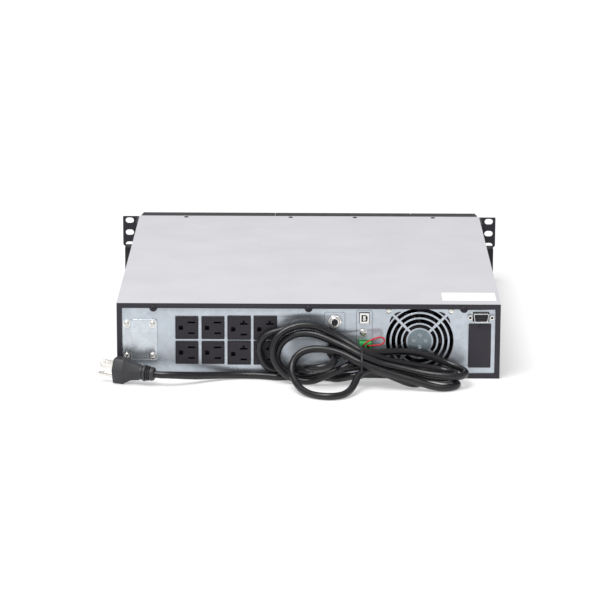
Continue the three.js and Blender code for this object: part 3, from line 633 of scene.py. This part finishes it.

# The cover is light grey on top, and this grey is a painted reflection of the overhead light on its black
# paint; its skirts and its rear lip are black like the tray.
cover = dress(refined("top_cover", 0.45), REFLECTION_GREY, "cover_paint", "top_cover")
recolour(cover, BLACK_PAINT, lambda face: face.normal.z < 0.55 or face.center.z < (COVER_TOP - 0.8) * MM)
dress(refined("base_tray", 0.35), BLACK_PAINT, "black_paint", "base_tray")

PANEL_FACE = 1.5
OUTLETS = [
    (f"outlet_{row}_{column + 1}", -139.6 + 30 * column, z, column)
    for row, z in (("upper", 59.0), ("lower", 29.5)) for column in range(4)
]
FAN_X, FAN_Z = 127.6, 44.0
BREAKER_X, BREAKER_Z = 30, 67
GLAND_X, GLAND_Z = 30, 33
GROUND_X, GROUND_Z = 62.7, 54.6
EPO_X = 65.4
COVER_SCREWS_X, COVER_SCREWS_Z = (-178, 0, 178), 82.5
PORT_SCREWS_X, PORT_SCREWS_Z = (-208.6, -178.8), (63.1, 26.1)


def corner_opening(turn, mirrored):
    """One of the two openings beside the spoke in a corner of the grille."""
    ring, square, radius, spoke = 40.6, 34.8, 14.0, 1.5
    centre = square - radius
    first = 45 + math.degrees(math.asin(spoke / radius))
    last = 45 + math.degrees(math.asin(spoke / ring))
    points = []
    for i in range(9):
        points.append(polar(centre, centre, radius, math.radians(first + (87 - first) * i / 8)))
    for i in range(7):
        points.append(polar(0, 0, ring, math.radians(57.6 + (last - 57.6) * i / 6)))
    if mirrored:
        points = [(b, a) for a, b in reversed(points)]
    angle = math.radians(turn)
    cosine, sine = math.cos(angle), math.sin(angle)
    return [(FAN_X + a * cosine - b * sine, FAN_Z + a * sine + b * cosine) for a, b in points]


def grille_slots():
    slots = []
    for inner, outer in ((15.5, 19.5), (21.4, 26), (28, 32.3), (34.5, 38.9)):
        half = math.degrees(math.asin(1.5 / ((inner + outer) / 2)))
        for start in (45, 135, 225, 315):
            slots.append(arc_slot(FAN_X, FAN_Z, inner, outer, start + half, start + 90 - half, 24))
    slots += [corner_opening(turn, mirrored) for turn in (0, 90, 180, 270) for mirrored in (False, True)]
    return [s for s in slots if all(2.6 < z < 85.4 for _, z in s)]


def rear_panel():
    holes = [around(x, z, 12.2, 12.2) for _, x, z, _ in OUTLETS]
    holes += grille_slots()
    holes += [
        circle(BREAKER_X, BREAKER_Z, 6), circle(GLAND_X, GLAND_Z, 8.6), circle(GROUND_X, GROUND_Z, 2.4, 16),
        rectangle(58.15, 69.75, 64.65, 77.85), rectangle(57.8, 73, 34.8, 44.5),   # USB, power-off socket
        rectangle(188.2, 207, 67.4, 78.6), rectangle(185.5, 207.4, 17, 61),   # serial socket, option slot
        rectangle(-201.6, -182.8, 29.5, 60),   # battery port
    ]
    holes += [circle(x, COVER_SCREWS_Z, 2.1, 16) for x in COVER_SCREWS_X]
    panel = plate("rear_panel_sheet", rectangle(-218.3, 218.3, 1.6, 86.4), holes, PANEL_FACE, 2.7, 0.15)
    dress(panel, SHEET_STEEL, "galvanised_sheet", "rear_panel")


rear_panel()


def printed_outline(name, left, right, bottom, top, radius):
    """A thin printed frame line on the panel."""
    width = 0.45
    outer = rounded(left, right, bottom, top, radius)
    inner = rounded(left + width, right - width, bottom + width, top - width, radius - width)
    line = plate(name, outer, [inner], PANEL_FACE - 0.04, PANEL_FACE + 0.02, 0.005, 0)
    dress(line, INK, "galvanised_sheet")


printed_outline("print_breaker_frame", 17.7, 42, 54.6, 78, 3)
printed_outline("print_port_frame", 54.6, 73.3, 33.6, 80.5, 3)


def pressed_dots():
    """The four pressed dimples that hold the fan grille's hub."""
    profile = [
        (0, -0.1), (0.6, -0.15), (1.0, -0.55), (1.35, -0.7),
        (1.7, -0.6), (2.1, -0.36), (2.1, -0.2), (0, -0.2),
    ]
    for i, (dx, dz) in enumerate(((7, 0), (-7, 0), (0, 7), (0, -7))):
        dot = turned(f"grille_rivet_{i + 1}", FAN_X + dx, PANEL_FACE, FAN_Z + dz, profile, 20)
        dress(dot, SHEET_STEEL, "galvanised_sheet")


hub_plate = plate(
    "grille_hub_plate", circle(FAN_X, FAN_Z, 13.9, 64), [], PANEL_FACE - 0.35, PANEL_FACE + 0.1, 0.15)
dress(hub_plate, HUB_STEEL, "galvanised_sheet")
pressed_dots()

for x, side in zip(COVER_SCREWS_X, ("left", "centre", "right")):
    node = "cover_screw_" + side
    screw(node + "_head", x, -0.3, COVER_SCREWS_Z, 3.2, 1.9, BLACK_PAINT, [node])

for i, (dx, dz) in enumerate(((-1, 1), (1, 1), (-1, -1), (1, -1))):
    screw(f"fan_screw_{i + 1}", FAN_X + dx * 35.75, PANEL_FACE, FAN_Z + dz * 35.75, 3.4, 1.3, ZINC)

# ---- outlets


def outlet(name, x, z, column):
    """A mains socket: a moulded face with its slots, a raised frame, and behind them a near-black block and
    slot walls as painted shade inside the slots.
    """
    wide = column > 1
    half_width, half_height = (13.5, 14.0) if wide else (13.2, 13.3)
    mid = z - 1.5 if wide else z
    upper = mid + 6.35
    lower = mid - 6.35
    slots = [
        rectangle(x + 1, x + 9.6, upper - 1.1, upper + 1.1),
        rectangle(x + 1.8, x + 9, lower - 1.1, lower + 1.1),
        [(x - 9.2, mid - 2.7), (x - 5.6, mid - 2.7), (x - 4.6, mid - 2.1), (x - 4.2, mid - 1),
         (x - 4.2, mid + 1), (x - 4.6, mid + 2.1), (x - 5.6, mid + 2.7), (x - 9.2, mid + 2.7)],
    ]
    if wide:
        slots[0] = [
            (x + 1, upper - 1.1), (x + 9.6, upper - 1.1), (x + 9.6, upper + 1.1), (x + 6.4, upper + 1.1),
            (x + 6.4, upper + 4), (x + 4.2, upper + 4), (x + 4.2, upper + 1.1), (x + 1, upper + 1.1),
        ]

    def outline(inset, radius):
        across, up = half_width - inset, half_height - inset
        return rounded(x - across, x + across, z - up, z + up, radius, 4)

    face = plate(name + "_face", outline(0, 0.9), slots, -0.6, 1.2, 0.3, 3)
    dress(face, OUTLET_BLACK, "black_plastic", name)
    rim = plate(name + "_rim", outline(0.35, 0.8), [outline(1.1, 0.6)], -0.78, -0.5, 0.08, 1)
    dress(rim, OUTLET_BLACK, "black_plastic")
    # The block behind the slots is near-black: painted shade seen through the slots.
    body = bevelled(prism(name + "_body", around(x, z, 11.8, 11.8), 5.2, 26), 0.4)
    dress(body, RECESS_SHADE, "black_plastic")
    # The slot walls are near-black too: painted shade in the slots.
    slot_shade_walls = plate(name + "_slot_shade", around(x, z, 11.8, 11.8), slots, 1.3, 5.1, 0.05, 1)
    dress(slot_shade_walls, RECESS_SHADE, "black_plastic")


for entry in OUTLETS:
    outlet(*entry)

# ---- pieces on the rear panel


def port_cover():
    """The battery port's cover: a thin sheet, a raised pad and four screws."""
    holes = [circle(x, z, 1.9, 20) for x in PORT_SCREWS_X for z in reversed(PORT_SCREWS_Z)]
    sheet = plate("port_cover_sheet", rounded(-213, -173.5, 20.5, 69, 3), holes, 0.6, 1.2, 0.15)
    dress(sheet, PORT_STEEL, "zinc_plate", "battery_port_cover")
    pad = plate("port_cover_pad", rounded(-203.6, -173.5, 20.5, 69, 4), holes[2:], -0.4, 0.65, 0.4, 3)
    dress(pad, PORT_STEEL, "zinc_plate")
    for column, x in enumerate(PORT_SCREWS_X):
        for row, z in enumerate(PORT_SCREWS_Z):
            name = f"battery_port_screw_{column * 2 + row + 1}"
            seat = (-0.4 if column else 0.6) - 0.02
            ring = [(3.0, -0.35), (4.3, -0.3), (4.4, 0.0), (3.0, 0.0)]
            washer = turned(name + "_washer", x, seat, z, [(0, -0.35), *ring, (0, 0.0)])
            dress(washer, ZINC, "zinc_plate")
            screw(name + "_head", x, seat - 0.3, z, 3.1, 1.7, ZINC, [name])


port_cover()


def breaker():
    """The thermal breaker: a threaded bush, its nut and the push button."""
    turns = [(5.6 - 0.35 * (i % 2), -3.2 + 0.35 * i) for i in range(10)]
    bush = turned("breaker_bush", BREAKER_X, 0, BREAKER_Z, [
        (0, -3.3), (3.7, -3.3), (3.7, -3.6), (5.0, -3.6), *turns, (5.6, 1), (0, 1)])
    dress(bush, ZINC, "zinc_plate", "breaker_body")
    hexagon = circle(BREAKER_X, BREAKER_Z, 7.35 / math.cos(math.pi / 6), 6)
    nut = plate("breaker_nut_fine", hexagon, [circle(BREAKER_X, BREAKER_Z, 5.7)], -1.8, 1.2, 0.45, 3)
    dress(nut, ZINC, "zinc_plate", "breaker_nut")
    button = turned("breaker_button_cap", BREAKER_X, 0, BREAKER_Z, [
        (0, -6.1), (1.8, -6.15), (2.6, -6.45), (3.0, -6.5), (3.4, -6.3), (3.6, -5.9), (3.6, 8), (0, 8)])
    dress(button, BLACK_PLASTIC, "black_plastic", "breaker_button", body="breaker_button")


breaker()


def usb():
    """A square USB socket: folded shell, white tongue and contacts, with a near-black back and lining as
    painted shade inside the shell.
    """
    x, z = 63.95, 71.25
    left, right, low, high = x - 3.3, x + 3.5, z - 4.0, z + 4.0

    def opening(grow):
        return [(left - grow, low - grow), (right - 1.9, low - grow), (right + grow, low + 1.9),
                (right + grow, high - 1.9), (right - 1.9, high + grow), (left - grow, high + grow)]

    outline = rounded(x - 5.35, x + 5.35, z - 6.15, z + 6.15, 0.7)
    shell = plate("usb_shell", outline, [opening(0)], -1.8, 8, 0.35, 3)
    dress(shell, ZINC, "zinc_plate", "usb_port")
    # The back and the lining are near-black: painted shade inside the shell.
    back = bevelled(prism("usb_back_shade", opening(-0.1), 5, 8), 0.1)
    dress(back, RECESS_SHADE, "black_plastic")
    lining = plate("usb_lining_shade", opening(-0.05), [opening(-0.5)], -1.2, 5, 0.1, 1)
    dress(lining, RECESS_SHADE, "black_plastic")
    tongue = bevelled(prism("usb_tongue", around(x, z, 1.5, 2.9), -1.5, 5), 0.35, 3)
    dress(tongue, WHITE, "zinc_plate")
    for i in range(4):
        side = 1.52 if i < 2 else -1.92
        level = z + (1.5 if i % 2 else -1.5)
        strip = rectangle(x + side, x + side + 0.4, level - 0.45, level + 0.45)
        contact = prism(f"usb_contact_{i + 1}", strip, -1, 4.5)
        dress(bevelled(contact, 0.08, 1), BRASS, "brass_plated")


usb()

screw("ground_screw_head", GROUND_X, 0.3, GROUND_Z, 3.4, 2.0, ZINC, ["ground_screw"])
dress(turned("ground_washer", GROUND_X, 1.2, GROUND_Z, [
    (0, -0.9), (3.4, -0.9), (4.3, -0.75), (4.4, -0.4), (4.4, 0.0), (0, 0.0)], 36), ZINC, "zinc_plate")


def emergency_plug():
    """The green two-way plug in its socket, with its clamp screws and the red jumper."""
    socket = refined("epo_socket", 0.2)
    dress(socket, GREEN, "green_plastic", "epo_socket")
    plug = refined("epo_plug", 0.3, 3)
    dress(plug, GREEN, "green_plastic", "epo_plug", body="epo_plug")
    for i, x in enumerate((EPO_X - 2.54, EPO_X + 2.54)):
        clamp = place(f"epo_clamp_screw_{i + 1}", cross_head(f"clamp_{i}", 1.25, 0.6))
        clamp.matrix_world = Matrix.Translation(at(x, -4.0, 42.7)) @ FACING_UP
        dress(clamp, ZINC, "zinc_plate", body="epo_plug")
        # A near-black patch at each wire entry: painted shade in the entry hole.
        mouth = rounded(x - 1.35, x + 1.35, 38.8, 42.0, 0.3, 3)
        entry = prism(f"epo_wire_entry_{i + 1}", mouth, -8.06, -7.4)
        dress(entry, RECESS_SHADE, "green_plastic", body="epo_plug")
    wire = [
        (63.4, -8.6, 40.8), (63.7, -11.6, 42.8), (66.5, -13, 46), (71.5, -12.6, 48.6), (77, -12, 50.8),
        (82, -11.6, 51.8), (85.8, -11.4, 50.4), (86.8, -11.4, 47.2), (85, -11.6, 44.2),
        (80.5, -12, 42.8), (74.5, -12.2, 42.2), (70.2, -11.4, 41.8), (68, -8.6, 40.8),
    ]
    line = smooth_line(wire, 10)
    jumper = tube("epo_jumper", line, 0.9, 4)
    dress(jumper, RED, "red_insulation", "epo_jumper_wire", body="epo_plug")


emergency_plug()


def gland():
    """The cord gland: hexagon flange, tapered clamping sleeve with grip ribs."""
    bore = circle(GLAND_X, GLAND_Z, 6.5)
    flange = plate("gland_flange", circle(GLAND_X, GLAND_Z, 11, 6), [bore], -3.8, 1.2, 0.7, 3)
    dress(flange, BLACK_PLASTIC, "black_plastic", "cord_gland")
    sleeve = turned("gland_sleeve", GLAND_X, 0, GLAND_Z, [
        (4.3, -22.0), (4.6, -22.6), (5.6, -22.7), (6.2, -22.2), (6.5, -21.0), (7.2, -12.2), (7.0, -11.6),
        (7.0, -10.8), (7.9, -10.3), (8.0, -9.0), (8.1, -3.0), (8.1, 6), (4.3, 6), (4.3, -22.0)], 40)
    dress(sleeve, BLACK_PLASTIC, "black_plastic")
    for i in range(10):
        x, z = polar(GLAND_X, GLAND_Z, 6.75, 2 * math.pi * i / 10)
        rib = turned(f"gland_rib_{i + 1}", x, 0, z, [
            (0, -20.6), (0.35, -20.4), (0.5, -19.6), (0.5, -13), (0, -12.8)], 10)
        dress(rib, BLACK_PLASTIC, "black_plastic")


gland()


def serial():
    """A nine-way serial socket: dished shell, black insert with its pin holes, a near-black floor behind
    them as painted shade, jackscrews.
    """
    x, z = 197.6, 73.0

    def dee(w, h, slant):
        radius, steps = 1.6, 4
        corners = [(x - w + slant, z - h), (x + w - slant, z - h), (x + w, z + h), (x - w, z + h)]
        points = []
        for i, (px, pz) in enumerate(corners):
            a = Vector(corners[i - 1])
            b = Vector((px, pz))
            c = Vector(corners[(i + 1) % 4])
            start = b + (a - b).normalized() * radius
            end = b + (c - b).normalized() * radius
            for k in range(steps + 1):
                t = k / steps
                points.append(tuple(start * (1 - t) ** 2 + b * 2 * t * (1 - t) + end * t ** 2))
        return points

    shell = plate("serial_shell", dee(8.9, 5, 1.4), [dee(8.1, 4.2, 1.3)], -5.2, 1, 0.25)
    dress(shell, ZINC, "zinc_plate", "serial_port")
    pins = [circle(x + (i - 2) * 2.76, z + 1.42, 0.55, 12) for i in range(5)]
    pins += [circle(x + (i - 1.5) * 2.76, z - 1.42, 0.55, 12) for i in range(4)]
    insert = plate("serial_insert", dee(7.9, 4.0, 1.3), pins, -4.6, -1, 0.12)
    dress(insert, BLACK_PLASTIC, "black_plastic")
    # A near-black floor behind the insert: painted shade in the pin holes.
    floor = bevelled(prism("serial_pin_shade", dee(7.9, 4.0, 1.3), -0.9, 0.9), 0.1)
    dress(floor, RECESS_SHADE, "black_plastic")
    for side, name in ((-1, "left"), (1, "right")):
        px = x + side * 12.5
        hexagon, hole = circle(px, z, 2.9, 6), circle(px, z, 1.4, 20)
        nut = plate(f"jackscrew_{name}_nut", hexagon, [hole], -3.6, 0.3, 0.35)
        dress(nut, ZINC, "zinc_plate", "serial_jackscrew_" + name)
        # A near-black core in the nut's hole: painted shade in the threaded hole.
        hole_shade = bevelled(prism(f"jackscrew_{name}_core", circle(px, z, 1.39, 20), -1.2, 0.2), 0.05)
        dress(hole_shade, RECESS_SHADE, "black_plastic")


serial()


def option_cover():
    """The blank cover of the option slot, with a small screw at its top and bottom."""
    cover_plate = plate("option_cover_plate", rounded(183.5, 209.4, 13, 65, 1.2), [], 0.2, 1.2, 0.25, 3)
    dress(cover_plate, BLACK_PAINT, "black_paint", "option_slot_cover")
    for i, z in enumerate((15.8, 62.2)):
        screw(f"option_cover_screw_{i + 1}", 196.45, 0.22, z, 1.9, 0.5, BLACK_PAINT)


option_cover()

# ---- fan

dress(refined("fan_frame", 0.4), FAN_BLACK, "black_plastic", "fan_frame")


def fan_rotor():
    """The fan's rotor: a domed hub and seven swept, twisted blades."""
    bm = bmesh.new()
    rows, columns = 9, 7
    for blade in range(7):
        base = 2 * math.pi * blade / 7
        grid = []
        for i in range(rows):
            radius = 17.2 + (36.4 - 17.2) * i / (rows - 1)
            row = []
            for j in range(columns):
                t = j / (columns - 1) - 0.5
                sweep = 0.55 * (i / (rows - 1)) ** 1.4
                angle = base + sweep + t * (0.62 - 0.12 * i / (rows - 1))
                depth = 7.5 + 15.0 * (t + 0.5) + 1.6 * math.sin(math.pi * (t + 0.5))
                x, z = polar(0, 0, radius, angle)
                row.append(bm.verts.new((x * MM, depth * MM, z * MM)))
            grid.append(row)
        for i in range(rows - 1):
            for j in range(columns - 1):
                bm.faces.new((grid[i][j], grid[i + 1][j], grid[i + 1][j + 1], grid[i][j + 1]))
    mesh = bpy.data.meshes.new("fan_blades")
    bm.to_mesh(mesh)
    bm.free()
    blades = place("fan_blades", mesh)
    thick = blades.modifiers.new("thick", "SOLIDIFY")
    thick.thickness = 1.1 * MM
    thick.offset = 0
    blades.location = at(FAN_X, 0, FAN_Z)
    blades = applied(blades, "fan_blades")
    smooth(blades.data, 40)
    dress(blades, FAN_BLACK, "black_plastic", "fan_rotor", body="fan_rotor")
    hub = turned("fan_hub", FAN_X, 0, FAN_Z, [
        (0, 5.5), (14.5, 5.5), (16.3, 5.9), (17.2, 7.0), (17.5, 8.4), (17.5, 24), (0, 24)], 48)
    dress(hub, FAN_BLACK, "black_plastic", body="fan_rotor")


fan_rotor()

# ---- cover label, cover screws

label = prism("cover_label", rounded(154, 216, 17, 55, 1.5), 0, 0.12)
label_z = (COVER_TOP + 0.02) * MM
label.data.transform(Matrix.Translation(Vector((0, -REAR_Y, 0))))
label.data.transform(Matrix(((1, 0, 0, 0), (0, 0, 1, REAR_Y), (0, 1, 0, label_z), (0, 0, 0, 1))))
dress(label, PAPER, "cover_paint")


def upright(piece, x, y):
    """Turns a piece made to face the rear so that it faces up on the cover."""
    piece.matrix_world = Matrix.Translation(at(x, y, COVER_TOP)) @ FACING_UP
    return piece


for i, x in enumerate((-159, -24, 59, 160)):
    piece = place(f"top_screw_{i + 1}", cross_head(f"top_head_{i}", 2.9, 0.9))
    dress(upright(piece, x, 458), BLACK_PAINT, "black_paint")
# The dimples take the cover's grey, the painted reflection on its top.
for i, y in enumerate((198, 357)):
    dot = place(f"cover_dimple_{i + 1}", lathe(f"dimple_{i}", [
        (0, -0.02), (0.8, -0.04), (1.5, -0.3), (2.2, -0.32), (3.2, 0.0), (0, 0.02)], 24))
    dress(upright(dot, -6, y), REFLECTION_GREY, "cover_paint")

# ---- rack ears and bezel

for side in ("left", "right"):
    dress(refined("rack_ear_" + side, 0.35, 3), BLACK_PAINT, "black_paint", "rack_ear_" + side)

for node, body in (("front_bezel", "chassis"), ("battery_door", "battery_drawer")):
    dress(refined(node, 0.7, 3, join_flat=False), BEZEL, "bezel_plastic", node, body=body)
dress(refined("display_window", 0.3), LENS, "display_lens", "display_window")
for i in range(3):
    x = 157 + 20 * i
    cap = turned(f"front_button_{i + 1}_cap", x, 0, 28, [
        (0, 477), (2.5, 477), (2.5, 480), (5.6, 480), (5.6, 481.3), (4, 481.3), (4, 484.8), (3.8, 485.3),
        (3.4, 485.55), (1.8, 485.35), (0, 485.25)])
    dress(cap, BUTTON, "bezel_plastic", f"front_button_{i + 1}", body=f"front_button_{i + 1}")


def front_lamps():
    """Four small status lamps behind the display's edge, and bars of a blank meter."""
    profile = [(0, -0.1), (1.0, -0.1), (1.0, 0.1), (0.6, 0.25), (0, 0.3)]
    for i in range(4):
        lamp = turned(f"status_lamp_{i + 1}", 160 + 11 * i, 485.75, 51.5, profile, 20)
        dress(lamp, LAMP, "display_lens")
    for i in range(6):
        outline = rounded(160 + 6.5 * i, 164.5 + 6.5 * i, 58, 62 + 2 * i, 0.4, 3)
        bar = plate(f"meter_bar_{i + 1}", outline, [], 485.72, 485.9, 0.05, 1)
        dress(bar, BUTTON, "display_lens")


front_lamps()

# ---- battery drawer and inside

dress(refined("battery_tray", 0.25), SHEET_STEEL, "galvanised_sheet", "battery_tray", body="battery_drawer")
for i in range(3):
    node = f"battery_module_{i + 1}"
    module = dress(refined(node, 0.8, 3), BATTERY, "battery_case", node, body="battery_drawer")
    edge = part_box(node)[0].x + 0.0048   # the terminals stand at the -X end
    recolour(module, BRASS, lambda face: face.center.x < edge)

for node, material in (("main_board", CIRCUIT), ("control_board", CIRCUIT), ("heatsink", ALUMINIUM),
                       ("transformer", WINDING), ("bus_capacitor", BATTERY)):
    nodes[node].data.materials.clear()
    nodes[node].data.materials.append(material)

# ---- plug

PLUG_PLACE = (
    Matrix.Translation(at(-221.3, -22.5, 15.8))
    @ Matrix.Rotation(math.radians(-15), 4, "Z")
    @ Matrix.Rotation(math.radians(3), 4, "Y")
)


def plug_piece(name, mesh, material, slot, *replaced):
    """A piece given in the plug's own frame: +X from its face to the cord."""
    piece = place(name, mesh)
    piece.matrix_world = PLUG_PLACE
    piece.data.materials.append(material)
    return enter(piece, "chassis", replaced)


def plug_grip():
    """The moulded grip: six-sided sections that taper from the face to the neck."""
    sections = [
        (0.0, 12.4, 13.4, 14.2), (0.9, 13.1, 14.1, 14.9), (12.2, 13.2, 14.2, 15.0), (13.2, 12.7, 13.4, 14.3),
        (20.5, 10.0, 10.9, 9.9), (28.0, 8.6, 8.7, 8.7), (31.0, 8.3, 8.3, 8.5),
    ]
    bm = bmesh.new()
    rings = []
    for x, wide, above, below in sections:
        flat = wide * 0.48
        ridge = 1.8 if x < 14 else 1.0
        ring = [
            (-wide, ridge), (-flat, -below), (flat, -below),
            (wide, ridge), (flat, above), (-flat, above),
        ]
        rings.append([bm.verts.new((x * MM, y * MM, z * MM)) for y, z in ring])
    for a, b in zip(rings, rings[1:]):
        for i in range(6):
            j = (i + 1) % 6
            bm.faces.new((a[i], a[j], b[j], b[i]))
    bm.faces.new(list(reversed(rings[0])))
    bm.faces.new(rings[-1])
    grip = bevelled(place("plug_grip", mesh_from(bm, "plug_grip")), 1.1, 3, 12)
    mesh = grip.data
    bpy.data.objects.remove(grip)
    return mesh


def along_x(name, profile, segments=36):
    """A turned mesh along X from (x, radius) points."""
    mesh = lathe(name, [(radius, x) for x, radius in profile], segments)
    mesh.transform(Matrix.Rotation(math.radians(-90), 4, "Z"))
    return mesh


# The strain relief: a collar, one large rib, two small ones and the end boss.
RELIEF = [
    (30.4, 0), (30.4, 7.4), (30.9, 8.3), (33.6, 8.3), (34.1, 7.5), (34.5, 7.5), (34.9, 9.0), (35.5, 9.4),
    (37.3, 9.4), (38.0, 9.0), (38.2, 6.6), (38.9, 6.5), (39.1, 8.5), (39.5, 8.8), (40.0, 8.5), (40.2, 6.4),
    (41.0, 6.3), (41.2, 8.3), (41.6, 8.6), (42.1, 8.3), (42.3, 6.3), (42.9, 6.3), (43.2, 7.6), (43.9, 8.0),
    (46.4, 7.8), (47.6, 7.1), (48.1, 6.0), (48.2, 4.3), (46.5, 4.15), (46.5, 0),
]


def blade(name, y):
    """A flat blade with a rounded tip and a hole near it, in the plug's frame."""
    outline = [(-16.2, 2.4), (-15.2, 1.85), (-0.2, 1.85), (-0.2, 8.15), (-15.2, 8.15), (-16.2, 7.6)]
    piece = plate(name, outline, [circle(-12.2, 5, 1.55, 20)], -0.75, 0.75)
    piece.data.transform(Matrix.Translation(Vector((0, y * MM - REAR_Y, 0))))
    mesh = piece.data
    bpy.data.objects.remove(piece)
    return mesh


plug_parts = [
    plug_piece("plug_grip_body", plug_grip(), PLUG_BLACK, "cord_jacket", "plug_body"),
    plug_piece("plug_relief", along_x("plug_relief", RELIEF), PLUG_BLACK, "cord_jacket"),
    plug_piece("plug_blade_one", blade("blade_one", -6.35), BRASS, "brass_plated", "plug_blade_near"),
    plug_piece("plug_blade_two", blade("blade_two", 6.35), BRASS, "brass_plated", "plug_blade_far"),
]
pin = along_x("plug_pin", [(-19.3, 0), (-19.2, 0.9), (-18.6, 1.8), (-17.6, 2.3), (-0.3, 2.4), (-0.3, 0)], 24)
pin.transform(Matrix.Translation(Vector((0, 0, -6.9 * MM))))
plug_parts.append(plug_piece("plug_pin_round", pin, BRASS, "brass_plated", "plug_ground_pin"))

# ---- tie round the hank

TIE_X = 60.6
TIE_WIDTH = 2.5
TIE_THICK = 0.9


def hull(points):
    """The convex outline of a set of points, anticlockwise."""
    points = sorted(set(points))

    def half(side):
        chain = []
        for p in side:
            while len(chain) > 1:
                (ax, ay), (bx, by) = chain[-2:]
                if (bx - ax) * (p[1] - ay) - (by - ay) * (p[0] - ax) > 0:
                    break
                chain.pop()
            chain.append(p)
        return chain[:-1]

    return half(points) + half(points[::-1])


def tie():
    """A thin strap pulled round the strands that cross its plane near the panel."""
    outline = []
    for a, b in zip(cord_line, cord_line[1:]):
        if (a[0] - TIE_X) * (b[0] - TIE_X) <= 0 and a[0] != b[0] and a[1] > -60:
            middle = a + (b - a) * (TIE_X - a[0]) / (b[0] - a[0])
            strand = circle(middle[1], middle[2], CORD_RADIUS + 0.1, 40)
            outline += [(round(y, 3), round(z, 3)) for y, z in strand]
    loop = hull(outline)
    count = len(loop)
    bm = bmesh.new()
    rings = []
    for i in range(count):
        before = Vector(loop[i - 1])
        after = Vector(loop[(i + 1) % count])
        along = (after - before).normalized()
        out = Vector((along.y, -along.x))
        inside = Vector(loop[i])
        outside = inside + out * TIE_THICK
        half = TIE_WIDTH / 2
        corners = [(-half, inside), (half, inside), (half * 0.92, outside), (-half * 0.92, outside)]
        rings.append([bm.verts.new(at(TIE_X + dx, p.x, p.y)) for dx, p in corners])
    for i in range(count):
        a = rings[i]
        b = rings[(i + 1) % count]
        for k in range(4):
            bm.faces.new((a[k], a[(k + 1) % 4], b[(k + 1) % 4], b[k]))
    strap = bevelled(place("hank_tie", mesh_from(bm, "hank_tie")), 0.2, 2, 45)
    return dress(strap, OUTLET_BLACK, "cord_jacket", "cable_tie")


strap = tie()

cord.data.materials.append(CORD_BLACK)

# ---- floor and light


def floor():
    data = bpy.data.meshes.new("floor")
    half = 40.0
    corners = [(x, z, 0) for x, z in around(0, 0, half, half)]
    data.from_pydata(corners, [], [(0, 1, 2, 3)])
    ground = place("floor", data)
    s = Surface("floor_paper", (0.60, 0.60, 0.60), roughness=0.75, specular=0.2)
    s.shader.inputs["Emission Color"].default_value = (1.0, 1.0, 1.0, 1)
    s.shader.inputs["Emission Strength"].default_value = 0.40
    s.bump(s.noise(60, 3), 0.05, 0.2)
    ground.data.materials.append(s.material)


def area(name, stand, aim, width, height, power):
    data = bpy.data.lights.new(name, "AREA")
    data.shape = "RECTANGLE"
    data.size = width
    data.size_y = height
    data.energy = power
    lamp = place(name, data)
    lamp.location = stand
    lamp.rotation_euler = (Vector(aim) - Vector(stand)).to_track_quat("-Z", "Y").to_euler()


def lighting():
    world = bpy.data.worlds.new("studio")
    world.use_nodes = True
    world.node_tree.nodes["Background"].inputs["Color"].default_value = (1.0, 1.0, 1.0, 1)
    world.node_tree.nodes["Background"].inputs["Strength"].default_value = 0.5
    bpy.context.scene.world = world
    data = bpy.data.lights.new("overhead_scrim", "SUN")
    data.energy = 1.86
    data.angle = math.radians(45)
    scrim = place("overhead_scrim", data)
    scrim.rotation_euler = Vector((0.25, 0.25, -1)).to_track_quat("-Z", "Y").to_euler()
    area("key_softbox", (-0.5, -1.2, 1.7), (0, -0.25, 0.04), 0.9, 0.3, 11)
    bpy.context.scene.view_settings.view_transform = "Standard"


floor()
lighting()
